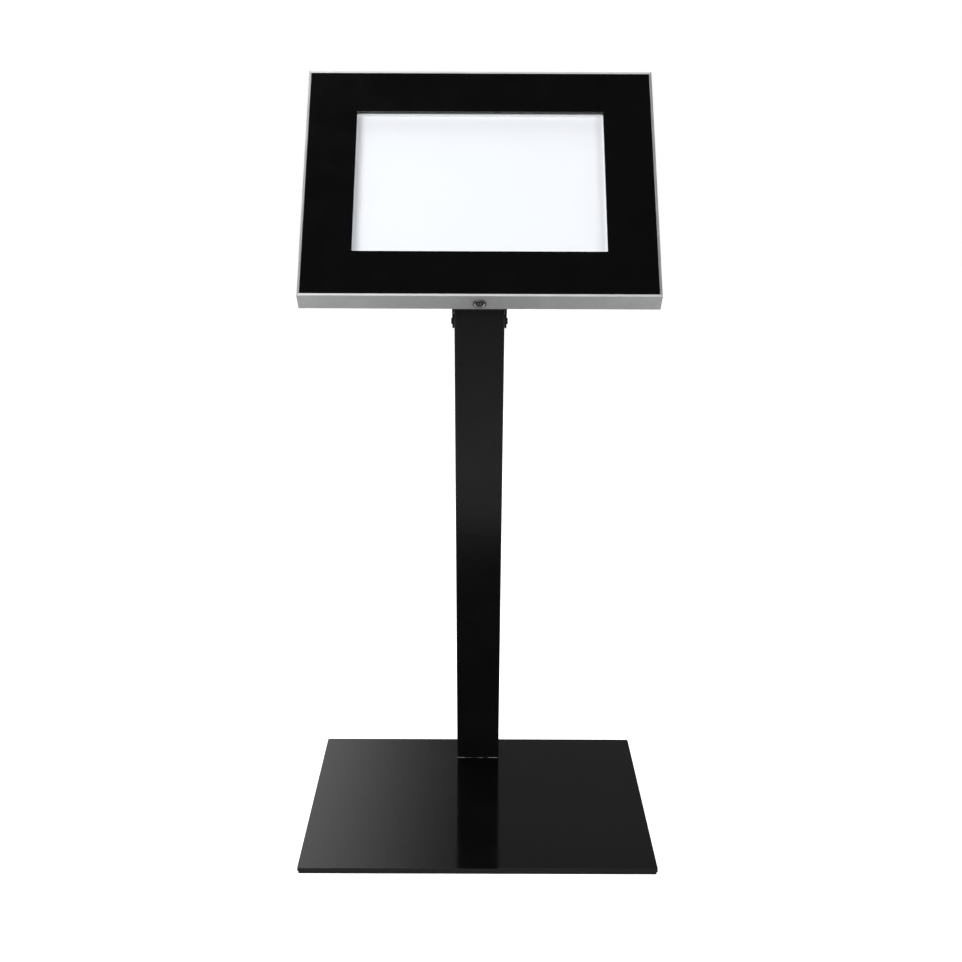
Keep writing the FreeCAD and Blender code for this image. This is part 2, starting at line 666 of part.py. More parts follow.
def cam_screw():
    seat = (0, CAM_START + CAM_THICK, -LOCK_DEPTH)
    return button_screw(seat, -ALONG, 4.4, 1.8, 1.5, 8.0, 2.0)


# ---------------------------------------------------------------- nodes
def stand_nodes():
    nodes = {
        "base_plate": [base_plate()],
        "base_underlay": [base_underlay()],
        "foot_screws": [foot_screw(x, y) for x, y in foot_screw_places()],
        "foot_gasket": [foot_gasket()],
        "foot_plug": [foot_plug()],
        "column_tube": [column_tube()],
        "column_set_screws": [set_screw(-SET_SCREW_X), set_screw(SET_SCREW_X)],
        "column_cap": [column_cap()],
    }
    for name, maker in (("pivot_insert", pivot_insert), ("friction_washer", friction_washer),
                        ("pivot_bolt", pivot_bolt)):
        right, left = mirrored_pair(maker())
        nodes[name + "_right"] = [on_column(right)]
        nodes[name + "_left"] = [on_column(left)]
    return nodes


def case_nodes():
    right, left = mirrored_pair(right_rail())
    nodes = {
        "tilt_bracket": [tilt_bracket()],
        "case_rail_bottom": [bottom_rail()],
        "case_rail_top": [top_rail()],
        "case_rail_right": [right],
        "case_rail_left": [left],
        "back_panel": [back_panel()],
        "back_panel_screws": back_panel_screws(),
        "board_standoffs": standoffs(),
        "board_standoff_screws": standoff_screws(),
        "backing_board": [backing_board()],
        "sign_sheet": [sign_sheet()],
        "white_mount": [white_mount()],
        "door_bumpers": door_bumpers(),
        "door_panel": [door_panel()],
        "glazing_tape": [glazing_tape()],
        "glazing": [glazing()],
        "door_keeper": [door_keeper()],
        "door_keeper_screws": keeper_screws(),
        "lock_housing": [lock_housing()],
        "lock_nut": [lock_nut()],
        "lock_core": [lock_core()],
        "lock_cam": [lock_cam()],
        "cam_screw": [cam_screw()],
    }
    number = 0
    for x in (-BRACKET_BOLT_X, BRACKET_BOLT_X):
        for up in BRACKET_BOLT_UP:
            number += 1
            nodes["bracket_bolt_%d" % number] = [bracket_bolt(x, up)]
            nodes["bracket_nut_%d" % number] = [bracket_nut(x, up)]
    for number, key in enumerate(corner_keys(), start=1):
        nodes["corner_key_%d" % number] = [key]
    for side, pin in zip(("right", "left"), mirrored_pair(hinge_pin())):
        nodes["hinge_pin_" + side] = [pin]
    for shapes in nodes.values():
        for shape in shapes:
            shape.Placement = CASE_FRAME.multiply(shape.Placement)
    return nodes


def write_nodes(nodes):
    os.makedirs("parts", exist_ok=True)
    for name, shapes in sorted(nodes.items()):
        shape = shapes[0] if len(shapes) == 1 else Part.makeCompound(shapes)
        shape.exportStep("parts/%s.step" % name)
        box = shape.BoundBox
        print("%-24s solids %d valid %s volume %.1f  X %.1f..%.1f Y %.1f..%.1f Z %.1f..%.1f" % (
            name, len(shape.Solids), shape.isValid(), shape.Volume / 1000,
            box.XMin, box.XMax, box.YMin, box.YMax, box.ZMin, box.ZMax))


all_nodes = stand_nodes()
all_nodes.update(case_nodes())
write_nodes(all_nodes)
hinge_axis = CASE_FRAME.multVec(Vector(0, HINGE_UP, -HINGE_DEPTH))
lock_axis = CASE_FRAME.multVec(Vector(0, 0, -LOCK_DEPTH))
print("tilt pivot at", PIVOT)
print("door hinge at", hinge_axis)
print("lock axis at", lock_axis)
print("nodes", len(all_nodes))
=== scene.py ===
"""Sign stand: a flat steel base and a leaning column carry a glazed sign case that tilts and opens."""

import json
import math

import bmesh
import bpy
from bpy.props import FloatProperty, FloatVectorProperty, PointerProperty
from bpy.types import Operator, Panel, PropertyGroup
from mathutils import Matrix, Vector

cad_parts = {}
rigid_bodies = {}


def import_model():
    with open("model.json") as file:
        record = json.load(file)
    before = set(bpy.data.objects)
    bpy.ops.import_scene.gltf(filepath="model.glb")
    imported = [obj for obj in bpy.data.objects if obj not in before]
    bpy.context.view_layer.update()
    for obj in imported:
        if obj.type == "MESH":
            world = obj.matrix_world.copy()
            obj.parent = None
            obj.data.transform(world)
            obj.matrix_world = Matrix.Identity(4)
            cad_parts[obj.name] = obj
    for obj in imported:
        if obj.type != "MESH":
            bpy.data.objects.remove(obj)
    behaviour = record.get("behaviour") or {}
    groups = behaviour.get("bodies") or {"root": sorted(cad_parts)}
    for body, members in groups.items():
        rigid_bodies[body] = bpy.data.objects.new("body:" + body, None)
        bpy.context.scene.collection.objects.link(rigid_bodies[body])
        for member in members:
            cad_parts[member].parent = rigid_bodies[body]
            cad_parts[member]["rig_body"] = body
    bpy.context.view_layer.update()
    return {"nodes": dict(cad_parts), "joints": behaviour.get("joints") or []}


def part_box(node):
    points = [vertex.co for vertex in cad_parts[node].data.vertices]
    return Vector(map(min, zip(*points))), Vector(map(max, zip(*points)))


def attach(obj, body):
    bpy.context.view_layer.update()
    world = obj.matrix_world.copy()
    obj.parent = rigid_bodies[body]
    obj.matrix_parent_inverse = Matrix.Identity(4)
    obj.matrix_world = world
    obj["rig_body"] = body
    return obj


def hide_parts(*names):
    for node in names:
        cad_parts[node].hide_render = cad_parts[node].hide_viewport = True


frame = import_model()

bl_info = {
    "name": "Museum Sign Stand",
    "version": (1, 0, 0),
    "blender": (4, 5, 0),
    "location": "3D View > Sidebar > Sign Stand",
    "description": "Models and finishes every piece of a tilting, lockable sign stand",
    "category": "Object",
}

MM = 0.001
ROUND_STEPS = 64
LOCK_STEPS = 72
SCREW_STEPS = 48
HOLE_STEPS = 40
PIN_STEPS = 32
CORNER_STEPS = 8
SAME_SPOT = 0.001 * MM
SHARP = math.radians(28)
FLAT = math.radians(0.5)
QUARTER_TURN = [math.radians(15 * i) for i in range(7)]

# Corner radii of the flat sheets, and how far the openings differ from the door's window.
BASE_CORNER = 3 * MM
UNDERLAY_CORNER = 1.5 * MM
SHEET_CORNER = 2 * MM
PANEL_CORNER = 1 * MM
WINDOW_CORNER = 1.5 * MM
MOUNT_MARGIN = 0.5 * MM
TAPE_MARGIN = 2 * MM

# Radii of drilled holes, and the depths of their countersinks.
FOOT_SCREW_ACCESS = 10 * MM
FOOT_SCREW_HOLE = 4.5 * MM
PANEL_SCREW_HOLE = 1.6 * MM
POST_SCREW_HOLE = 2.1 * MM
BRACKET_BOLT_HOLE = 2.75 * MM
PANEL_SCREW_SINK = 1.3 * MM
POST_SCREW_SINK = 1.8 * MM

RIGHT = Vector((1, 0, 0))
UP = Vector((0, 0, 1))
BACK = Vector((0, 1, 0))


# ---------------------------------------------------------------- places, from the frame
def joint_named(name):
    return next(j for j in frame["joints"] if j["name"] == name)


def place_at(origin, x, z):
    """A right-handed place at origin, with its X and Z along the given directions."""
    place = Matrix((x, z.cross(x), z)).transposed().to_4x4()
    place.translation = origin
    return place


def room(node, place):
    """Lowest and highest corner of a CAD node, measured along a place's own axes."""
    inward = place.inverted()
    corners = [inward @ v.co for v in frame["nodes"][node].data.vertices]
    sides = list(zip(*corners))
    return Vector([min(side) for side in sides]), Vector([max(side) for side in sides])


def traced(node):
    """A copy of a CAD node's mesh with its loose triangles joined into whole faces."""
    bm = bmesh.new()
    bm.from_mesh(frame["nodes"][node].data)
    bmesh.ops.remove_doubles(bm, verts=bm.verts, dist=SAME_SPOT)
    bmesh.ops.dissolve_limit(bm, angle_limit=FLAT, verts=bm.verts, edges=bm.edges)
    return bm


def lumps(node, place):
    """(lowest, highest) corner of each separate solid in a CAD node, along a place's own axes."""
    bm = traced(node)
    bm.transform(place.inverted())
    found = []
    for seed in bm.verts:
        if seed.tag:
            continue
        seed.tag = True
        waiting, members = [seed], []
        while waiting:
            vert = waiting.pop()
            members.append(vert.co.copy())
            for edge in vert.link_edges:
                other = edge.other_vert(vert)
                if not other.tag:
                    other.tag = True
                    waiting.append(other)
        sides = list(zip(*members))
        found.append((Vector([min(side) for side in sides]), Vector([max(side) for side in sides])))
    bm.free()
    return found


def column_place():
    """The column's place: origin at the middle of its foot, +Z up the column."""
    low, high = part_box("foot_gasket")
    foot = Vector(((low.x + high.x) / 2, (low.y + high.y) / 2, low.z))
    pivot = Vector(joint_named("case_tilt")["pos_m"])
    return place_at(foot, RIGHT, (pivot - foot).normalized())


def case_place():
    """The case's place: origin at the front of its lower edge, +Y up the slope, +Z out of the front."""
    lock = joint_named("lock_turn")
    slope = Vector(lock["axis"])
    place = place_at(Vector(lock["pos_m"]), RIGHT, RIGHT.cross(slope))
    front = room("door_panel", place)[1].z
    return place @ Matrix.Translation((0, 0, front))


COLUMN = column_place()
CASE = case_place()
WORLD = Matrix.Identity(4)


# ---------------------------------------------------------------- finishes
class Finish:
    """A material being made: a shader, and patterns on the piece's own coordinates that feed it."""

    def __init__(self, name, roughness, metallic=0.0, specular=0.5):
        self.material = bpy.data.materials.new(name)
        self.material.use_nodes = True
        self.tree = self.material.node_tree
        self.shader = self.tree.nodes["Principled BSDF"]
        self.shader.inputs["Roughness"].default_value = roughness
        self.shader.inputs["Metallic"].default_value = metallic
        self.shader.inputs["Specular IOR Level"].default_value = specular
        self.place = self.tree.nodes.new("ShaderNodeTexCoord").outputs["Object"]

    def add(self, kind, inputs, **settings):
        made = self.tree.nodes.new(kind)
        for key, value in settings.items():
            setattr(made, key, value)
        for key, value in inputs.items():
            made.inputs[key].default_value = value
        return made

    def join(self, start, end):
        self.tree.links.new(start, end)

    def along(self, lean, stretch):
        """Coordinates turned back from a lean about X, then scaled by stretch."""
        straight = self.add("ShaderNodeMapping", {"Rotation": (-lean, 0, 0)})
        drawn = self.add("ShaderNodeMapping", {"Scale": stretch})
        self.join(self.place, straight.inputs["Vector"])
        self.join(straight.outputs["Vector"], drawn.inputs["Vector"])
        return drawn.outputs["Vector"]

    def noise(self, scale, detail=2.0, place=None):
        """Soft random variation; scale is in lumps per metre."""
        made = self.add("ShaderNodeTexNoise", {"Scale": scale, "Detail": detail})
        self.join(place or self.place, made.inputs["Vector"])
        return made.outputs["Fac"]

    def cells(self, scale):
        """Distance to the nearest of many random points, as in foam or cast grain."""
        made = self.add("ShaderNodeTexVoronoi", {"Scale": scale})
        self.join(self.place, made.inputs["Vector"])
        return made.outputs["Distance"]

    def colours(self, value, first, second, start=0.3, end=0.7):
        """The surface's colour runs from first to second as value runs from start to end."""
        ramp = self.add("ShaderNodeValToRGB", {})
        for stop, where, colour in zip(ramp.color_ramp.elements, (start, end), (first, second)):
            stop.position = where
            stop.color = (*colour, 1.0)
        self.join(value, ramp.inputs["Fac"])
        self.join(ramp.outputs["Color"], self.shader.inputs["Base Color"])

    def roughness(self, value, low, high):
        """The surface's roughness varies between low and high with value."""
        spread = self.add("ShaderNodeMapRange", {"From Min": 0.3, "From Max": 0.7,
                                                 "To Min": low, "To Max": high})
        self.join(value, spread.inputs["Value"])
        self.join(spread.outputs["Result"], self.shader.inputs["Roughness"])

    def relief(self, value, height, under=None):
        """Small bumps of that height in metres, over any earlier relief."""
        bump = self.add("ShaderNodeBump", {"Strength": 1.0, "Distance": height})
        self.join(value, bump.inputs["Height"])
        if under:
            self.join(under, bump.inputs["Normal"])
        self.join(bump.outputs["Normal"], self.shader.inputs["Normal"])
        return bump.outputs["Normal"]


def grey(value, blue=0.0):
    return (value, value, value * (1 + blue))


def scaled(colour, factor):
    return tuple(channel * factor for channel in colour)


def powder_coat(name, colour, low, high, peel):
    """Sprayed and baked satin coat: slight orange peel, and faint rubbing marks in the sheen."""
    made = Finish(name, low, specular=0.32)
    marks = made.noise(9.0, 4.0)
    made.colours(marks, scaled(colour, 0.85), scaled(colour, 1.2))
    made.roughness(made.noise(22.0, 5.0), low, high)
    coarse = made.relief(made.noise(420.0), peel)
    made.relief(made.noise(1500.0, 1.0), 0.35 * peel, coarse)
    return made.material


def stand_coat():
    colour = bpy.context.scene.stand_finishes.stand_black
    return powder_coat("stand_powder_coat", colour, 0.2, 0.28, 0.004 * MM)


def base_coat_painted_shade():
    """The base's top is laid off smoother than the column, so it mirrors softly."""
    # Painted shade: the base takes the stand black at half its value, a darker copy of the column's coat
    # that keeps its better-lit top as dark as the column.
    colour = scaled(bpy.context.scene.stand_finishes.stand_black, 0.5)
    return powder_coat("base_gloss_coat_painted_shade", colour, 0.07, 0.12, 0.0006 * MM)


def door_lacquer():
    """Deep black lacquer on a flat sheet."""
    made = Finish("door_lacquer", 0.2)
    colour = bpy.context.scene.stand_finishes.door_black
    made.colours(made.noise(14.0, 3.0), scaled(colour, 0.85), scaled(colour, 1.2))
    made.roughness(made.noise(30.0, 4.0), 0.13, 0.18)
    made.relief(made.noise(700.0, 1.0), 0.0008 * MM)
    return made.material


def worked_metal(name, first, second, clouds, marks, low, high, grain, height, metallic=1.0):
    """Small metal parts: faint clouds of colour, an uneven sheen and fine tool marks.

    Clouds, marks and grain are each a (scale, detail) pair of a noise pattern.
    """
    made = Finish(name, low, metallic)
    made.colours(made.noise(*clouds), first, second)
    made.roughness(made.noise(*marks), low, high)
    made.relief(made.noise(*grain), height)
    return made.material


def screw_black():
    """Black-coated steel, unevenly rubbed."""
    return worked_metal("screw_black_coat", grey(0.012), grey(0.022), (300.0, 3.0), (900.0, 3.0),
                        0.28, 0.42, (3000.0, 1.0), 0.004 * MM, 0.0)


def underlay_rubber():
    """Matt moulded rubber with a fine sandy grain."""
    made = Finish("underlay_rubber", 0.85, specular=0.3)
    colour = bpy.context.scene.stand_finishes.rubber_black
    made.colours(made.noise(60.0, 5.0), scaled(colour, 0.75), scaled(colour, 1.35))
    made.roughness(made.noise(400.0, 2.0), 0.78, 0.92)
    made.relief(made.cells(1800.0), 0.05 * MM)
    return made.material


def gasket_painted_glints():
    """Dark gasket sheet with pale patches, which are a painted highlight: the broken light line at the
    column's foot.
    """
    made = Finish("gasket_painted_glints", 0.7, specular=0.3)
    # Painted highlight: the sharp ramp turns a few noise lumps pale grey along the dark sheet.
    made.colours(made.noise(95.0, 3.0), grey(0.012), grey(0.3), 0.46, 0.56)
    made.relief(made.noise(2500.0, 3.0), 0.03 * MM)
    return made.material


def moulded_plastic(name, value, rough, grain):
    """Injection-moulded plastic with a spark-eroded texture."""
    made = Finish(name, rough)
    made.colours(made.noise(40.0, 4.0), grey(0.85 * value), grey(1.2 * value))
    made.roughness(made.noise(250.0, 3.0), rough - 0.06, rough + 0.06)
    made.relief(made.cells(2600.0), grain)
    return made.material


def zinc_plate():
    """Bright zinc plating: cool, with faint warm clouds."""
    return worked_metal("zinc_plate", (0.50, 0.52, 0.54), (0.63, 0.62, 0.58), (180.0, 5.0),
                        (700.0, 4.0), 0.24, 0.4, (2600.0, 2.0), 0.003 * MM)


def drawn_metal(name, first, second, low, high, lines, stretch, lean):
    """Metal with fine lines along its length, from the die or the rolls."""
    made = Finish(name, low, metallic=1.0)
    drawn = made.noise(lines, 3.0, made.along(lean, stretch))
    made.colours(made.noise(30.0, 4.0), first, second)
    made.roughness(drawn, low, high)
    made.relief(drawn, 0.0015 * MM)
    return made.material


def case_lean():
    """How far the case's slope is turned from level about X."""
    return CASE.to_euler().x


def anodised_across():
    """The top and bottom rails: lines run across the case."""
    colour = bpy.context.scene.stand_finishes.frame_silver
    return drawn_metal("silver_anodised_across", scaled(colour, 0.96), scaled(colour, 1.04),
                       0.54, 0.6, 1400.0, (0.02, 1.0, 1.0), case_lean())


def anodised_upright():
    """The side rails: lines run up the slope."""
    colour = bpy.context.scene.stand_finishes.frame_silver
    return drawn_metal("silver_anodised_upright", scaled(colour, 0.96), scaled(colour, 1.04),
                       0.38, 0.46, 1400.0, (1.0, 0.02, 1.0), case_lean())


def mill_aluminium():
    """Bare rolled aluminium sheet."""
    return drawn_metal("mill_aluminium", grey(0.50, 0.02), grey(0.60, 0.02),
                       0.38, 0.52, 700.0, (1.0, 0.015, 1.0), case_lean())


def turned_brass():
    return worked_metal("turned_brass", (0.62, 0.47, 0.20), (0.74, 0.58, 0.28), (160.0, 4.0),
                        (800.0, 3.0), 0.22, 0.36, (2400.0, 1.0), 0.003 * MM)


def foam_board():
    """White rigid board with a cellular core."""
    made = Finish("foam_board", 0.7, specular=0.3)
    made.colours(made.noise(50.0, 3.0), grey(0.72), grey(0.80))
    made.relief(made.cells(1400.0), 0.05 * MM)
    return made.material


def cut_foam(name, rough, specular, dark, light, colour_cells, relief_cells):
    """Foam with small closed cells on its cut edges."""
    made = Finish(name, rough, specular=specular)
    made.colours(made.cells(colour_cells), grey(dark), grey(light), 0.0, 0.6)
    made.relief(made.cells(relief_cells), 0.03 * MM)
    return made.material


def sign_paper():
    """Blank coated sheet: nearly even white with the faintest tooth."""
    made = Finish("sign_paper", 0.55, specular=0.3)
    colour = bpy.context.scene.stand_finishes.sign_white
    made.colours(made.noise(11.0, 3.0), scaled(colour, 0.985), scaled(colour, 1.0))
    made.roughness(made.noise(300.0, 3.0), 0.5, 0.62)
    made.relief(made.noise(3200.0, 3.0), 0.006 * MM)
    return made.material


def clear_glass():
    """Low-reflection glass: clear, with a faint mirror that grows at a low angle."""
    made = Finish("clear_glass", 0.03)
    tree = made.tree
    clear = made.add("ShaderNodeBsdfTransparent", {"Color": (0.985, 0.992, 0.988, 1.0)})
    mirror = made.add("ShaderNodeBsdfGlossy", {"Color": (0.9, 0.92, 1.0, 1.0), "Roughness": 0.03})
    facing = made.add("ShaderNodeLayerWeight", {"Blend": 0.5})
    steep = made.add("ShaderNodeMath", {1: 5.0}, operation="POWER")
    share = made.add("ShaderNodeMath", {1: 0.6, 2: 0.012}, operation="MULTIPLY_ADD")
    smear = made.relief(made.noise(26.0, 4.0), 0.002 * MM)
    blend = tree.nodes.new("ShaderNodeMixShader")
    made.join(smear, mirror.inputs["Normal"])
    made.join(facing.outputs["Facing"], steep.inputs[0])
    made.join(steep.outputs["Value"], share.inputs[0])
    made.join(share.outputs["Value"], blend.inputs["Fac"])
    made.join(clear.outputs["BSDF"], blend.inputs[1])
    made.join(mirror.outputs["BSDF"], blend.inputs[2])
    made.join(blend.outputs["Shader"], tree.nodes["Material Output"].inputs["Surface"])
    tree.nodes.remove(made.shader)
    return made.material


def glass_edge():
    """The ground edge of the glass, green from the depth of the sheet."""
    made = Finish("glass_edge", 0.35)
    made.colours(made.noise(240.0, 3.0), (0.10, 0.22, 0.18), (0.18, 0.34, 0.28))
    made.roughness(made.noise(900.0, 3.0), 0.25, 0.45)
    return made.material


def lock_plating(name, first, second, low, high):
    """Plated lock metal with fine tool marks."""
    return worked_metal(name, first, second, (350.0, 4.0), (1500.0, 3.0), low, high,
                        (3500.0, 1.0), 0.002 * MM)


def lock_middle():
    """The middle of the lock's face, on the lock's axis."""
    low, high = room("lock_housing", CASE)
    return CASE @ Vector((0, low.y, (low.z + high.z) / 2))


def lock_core_painted_shade():
    """Core face bright within 2.3 mm of its middle and near black beyond it; the near black is painted
    shade of the recess round the core's lighter middle.
    """
    made = Finish("lock_core_nickel_painted_shade", 0.26, metallic=1.0)
    reach = made.add("ShaderNodeVectorMath", {1: lock_middle()}, operation="DISTANCE")
    made.join(made.place, reach.inputs[0])
    # Painted shade: everything more than 2.8 mm from the lock's axis is near black.
    made.colours(reach.outputs["Value"], grey(0.9), grey(0.02), 2.3 * MM, 2.8 * MM)
    made.roughness(made.noise(1500.0, 3.0), 0.42, 0.52)
    made.relief(made.noise(3500.0, 1.0), 0.002 * MM)
    return made.material


FINISH_MAKERS = {
    "black_powder_coat": stand_coat,
    "door_black": door_lacquer,
    "black_screws": screw_black,
    "underlay_rubber": underlay_rubber,
    "grey_gasket": gasket_painted_glints,
    "cap_plastic": lambda: moulded_plastic("cap_plastic", 0.014, 0.42, 0.02 * MM),
    "friction_nylon": lambda: moulded_plastic("washer_nylon", 0.02, 0.5, 0.01 * MM),
    "zinc_steel": zinc_plate,
    "silver_anodised": anodised_across,
    "plain_aluminium": mill_aluminium,
    "standoff_brass": turned_brass,
    "board_composite": foam_board,
    "sign_white": sign_paper,
    "mount_white": lambda: cut_foam("mount_foam", 0.65, 0.3, 0.86, 0.90, 900.0, 1600.0),
    "clear_glazing": clear_glass,
    "tape_grey": lambda: cut_foam("foam_tape", 0.8, 0.2, 0.10, 0.2, 2200.0, 2200.0),
    "lock_black_nickel": lambda: lock_plating("lock_black_nickel", grey(0.015), grey(0.03), 0.2, 0.32),
    "lock_steel": lock_core_painted_shade,
    # Ring and dish are a darker and a brighter copy of one plating: painted shade on the ring, a painted
    # glint on the dish.
    "lock_ring": lambda: lock_plating("lock_ring_nickel", grey(0.12), grey(0.16), 0.26, 0.36),
    "lock_dish": lambda: lock_plating("lock_dish_painted_glint", grey(0.42), grey(0.5), 0.12, 0.2),
    "base": base_coat_painted_shade,
    "anodised_upright": anodised_upright,
    "glass_edge": glass_edge,
}
finishes_made = {}


def finish(name):
    if name not in finishes_made:
        finishes_made[name] = FINISH_MAKERS[name]()
    return finishes_made[name]


# ---------------------------------------------------------------- shaping tools
def round_over(bm, edges, radius, steps=3):
    """Rounds the given edges to a radius."""
    bmesh.ops.bevel(bm, geom=edges, offset=radius, offset_type="OFFSET", affect="EDGES",
                    segments=steps, profile=0.5, material=-1, clamp_overlap=True)


def soften(bm, radius, steps=3):
    """Rounds every sharp edge of a closed shape a little."""
    bm.normal_update()
    sharp = [e for e in bm.edges if e.is_manifold and e.calc_face_angle() > SHARP]
    round_over(bm, sharp, radius, steps)
    return bm


def outline(bm, low, high, corner):
    """The edges of a rounded rectangle that lies at low.z."""
    quad = bmesh.ops.create_grid(bm, x_segments=1, y_segments=1, size=0.5)["verts"]
    size = high - low
    middle = (low + high) / 2
    bmesh.ops.scale(bm, vec=(size.x, size.y, 1), verts=quad)
    bmesh.ops.translate(bm, vec=(middle.x, middle.y, low.z), verts=quad)
    bmesh.ops.bevel(bm, geom=quad, offset=corner, offset_type="OFFSET", affect="VERTICES",
                    segments=CORNER_STEPS, profile=0.5, material=-1)
    bmesh.ops.delete(bm, geom=bm.faces[:], context="FACES_ONLY")


def thicken(bm, height):
    """Draws flat faces up into a closed slab of that height."""
    grown = bmesh.ops.extrude_face_region(bm, geom=bm.faces[:])
    top = [g for g in grown["geom"] if isinstance(g, bmesh.types.BMVert)]
    bmesh.ops.translate(bm, vec=(0, 0, height), verts=top)
    bmesh.ops.recalc_face_normals(bm, faces=bm.faces)


def cut_sheet(low, high, corner, window=None, holes=()):
    """A flat slab between two corners with a rounded outline, an optional window and round holes."""
    bm = bmesh.new()
    outline(bm, low, high, corner)
    if window:
        outline(bm, *window)
    for spot, radius in holes:
        bmesh.ops.create_circle(bm, cap_ends=False, radius=radius, segments=HOLE_STEPS,
                                matrix=Matrix.Translation((spot.x, spot.y, low.z)))
    bmesh.ops.triangle_fill(bm, use_beauty=True, use_dissolve=False, edges=bm.edges[:])
    bmesh.ops.dissolve_limit(bm, angle_limit=FLAT, verts=bm.verts, edges=bm.edges)
    thicken(bm, high.z - low.z)
    return bm


def drilled(node, place, radius, wanted=lambda low, high: True):
    """(middle, radius) of a round hole for each separate wanted screw or bolt of a CAD node."""
    return [((low + high) / 2, radius) for low, high in lumps(node, place) if wanted(low, high)]


def countersink(bm, holes, height, depth):
    """Opens the mouths of round holes, at that height, into cones."""
    for middle, radius in holes:
        spot = Vector((middle.x, middle.y, height))
        mouth = [e for e in bm.edges if all((v.co - spot).length < 1.02 * radius for v in e.verts)]
        bmesh.ops.bevel(bm, geom=mouth, offset=depth, offset_type="OFFSET", affect="EDGES",
                        segments=1, profile=0.5, material=-1)


def spin_round(profile, closed=False, steps=ROUND_STEPS):
    """A turned solid about +Z, from (radius, height) points that run from bottom to top."""
    bm = bmesh.new()
    verts = [bm.verts.new((radius, 0, height)) for radius, height in profile]
    pairs = list(zip(verts, verts[1:])) + ([(verts[-1], verts[0])] if closed else [])
    edges = [bm.edges.new(pair) for pair in pairs]
    bmesh.ops.spin(bm, geom=verts + edges, cent=(0, 0, 0), axis=(0, 0, 1), dvec=(0, 0, 0),
                   angle=math.tau, steps=steps, use_merge=True, use_duplicate=False)
    bmesh.ops.remove_doubles(bm, verts=bm.verts, dist=SAME_SPOT)
    bmesh.ops.recalc_face_normals(bm, faces=bm.faces)
    return bm


def thread_profile(radius, bottom, top):
    """A screw's shank as (radius, height) points, with a pointed tip and a ridge for each turn."""
    pitch = 0.32 * radius
    root = 0.86 * radius
    turns = max(1, int((top - bottom - pitch) / pitch))
    points = [(0.0, bottom), (0.7 * radius, bottom)]
    for turn in range(turns):
        start = bottom + 0.5 * pitch + turn * pitch
        points += [(root, start), (radius, start + 0.5 * pitch)]
    return points + [(root, top - 0.3 * pitch), (root, top)]


def hex_socket(bm, rim, across, depth):
    """Closes the open rim of a screw head with a hexagonal key socket of that depth."""
    per_side = len(rim) // 6
    height = rim[0].verts[0].co.z
    corner = across / 2 / math.cos(math.radians(30))
    ring = bmesh.ops.create_circle(bm, cap_ends=False, radius=corner, segments=6,
                                   matrix=Matrix.Translation((0, 0, height)))["verts"]
    sides = list({e for v in ring for e in v.link_edges})
    cut = bmesh.ops.subdivide_edges(bm, edges=sides, cuts=per_side - 1)
    sides = list({g for g in cut["geom_split"] if isinstance(g, bmesh.types.BMEdge)}
                 | {e for e in sides if e.is_valid})
    bmesh.ops.bridge_loops(bm, edges=rim + sides)
    wall = bmesh.ops.extrude_edge_only(bm, edges=sides)["geom"]
    floor = [g for g in wall if isinstance(g, bmesh.types.BMVert)]
    bmesh.ops.translate(bm, vec=(0, 0, -depth), verts=floor)
    bottom = [e for e in wall if isinstance(e, bmesh.types.BMEdge)
              and all(v.co.z < height - 0.5 * depth for v in e.verts)]
    bmesh.ops.edgeloop_fill(bm, edges=bottom)


def screw_head_rim(bm, height):
    return [e for e in bm.edges if e.is_boundary and all(abs(v.co.z - height) < 1e-7 for v in e.verts)]


def button_screw(head_radius, head, shank_radius, length, socket, shoulder=None):
    """A domed socket screw.  Its head's top is at Z = 0 and it runs down -Z to its whole length."""
    neck = [(shank_radius, -head)]
    shank_top = -head
    if shoulder:
        shoulder_radius, shoulder_length = shoulder
        shank_top = -head - shoulder_length
        neck = [(shoulder_radius, shank_top), (shoulder_radius, -head)]
    crown = 0.55 * head
    dome = [(head_radius - crown * (1 - math.cos(turn)), crown * (math.sin(turn) - 1))
            for turn in QUARTER_TURN]
    mouth = 0.64 * socket
    profile = thread_profile(shank_radius, -length, shank_top) + neck
    profile += [(head_radius - 0.15 * MM, -head), (head_radius, -head + 0.15 * MM)] + dome
    profile += [(mouth, 0.0)]
    bm = spin_round(profile, steps=SCREW_STEPS)
    hex_socket(bm, screw_head_rim(bm, 0.0), socket, 0.7 * head)
    return bm


def flat_screw(head_radius, shank_radius, length, socket):
    """A countersunk socket screw.  Its head's face is at Z = 0 and it runs down -Z."""
    cone = head_radius - shank_radius
    mouth = 0.64 * socket
    profile = thread_profile(shank_radius, -length, -cone) + [(shank_radius, -cone)]
    profile += [(head_radius, -0.12 * MM), (head_radius - 0.08 * MM, 0.0), (mouth, 0.0)]
    bm = spin_round(profile, steps=SCREW_STEPS)
    hex_socket(bm, screw_head_rim(bm, 0.0), socket, 0.6 * cone)
    return bm


def screws_in(node, place, outward):
    """For each screw of a node: its head's top as a place with +Z out of it, head radius, length."""
    axis = max(range(3), key=lambda i: abs(outward[i]))
    turn = outward.to_track_quat("Z", "Y").to_matrix().to_4x4()
    for low, high in lumps(node, place):
        top = (low + high) / 2
        top[axis] = high[axis] if outward[axis] > 0 else low[axis]
        size = high - low
        yield Matrix.Translation(top) @ turn, size[(axis + 1) % 3] / 2, size[axis]


def gathered(parts):
    """One shape out of several (shape, place) pairs."""
    whole = bmesh.new()
    for part, place in parts:
        part.transform(place)
        mesh = bpy.data.meshes.new("part")
        part.to_mesh(mesh)
        part.free()
        whole.from_mesh(mesh)
        bpy.data.meshes.remove(mesh)
    return whole


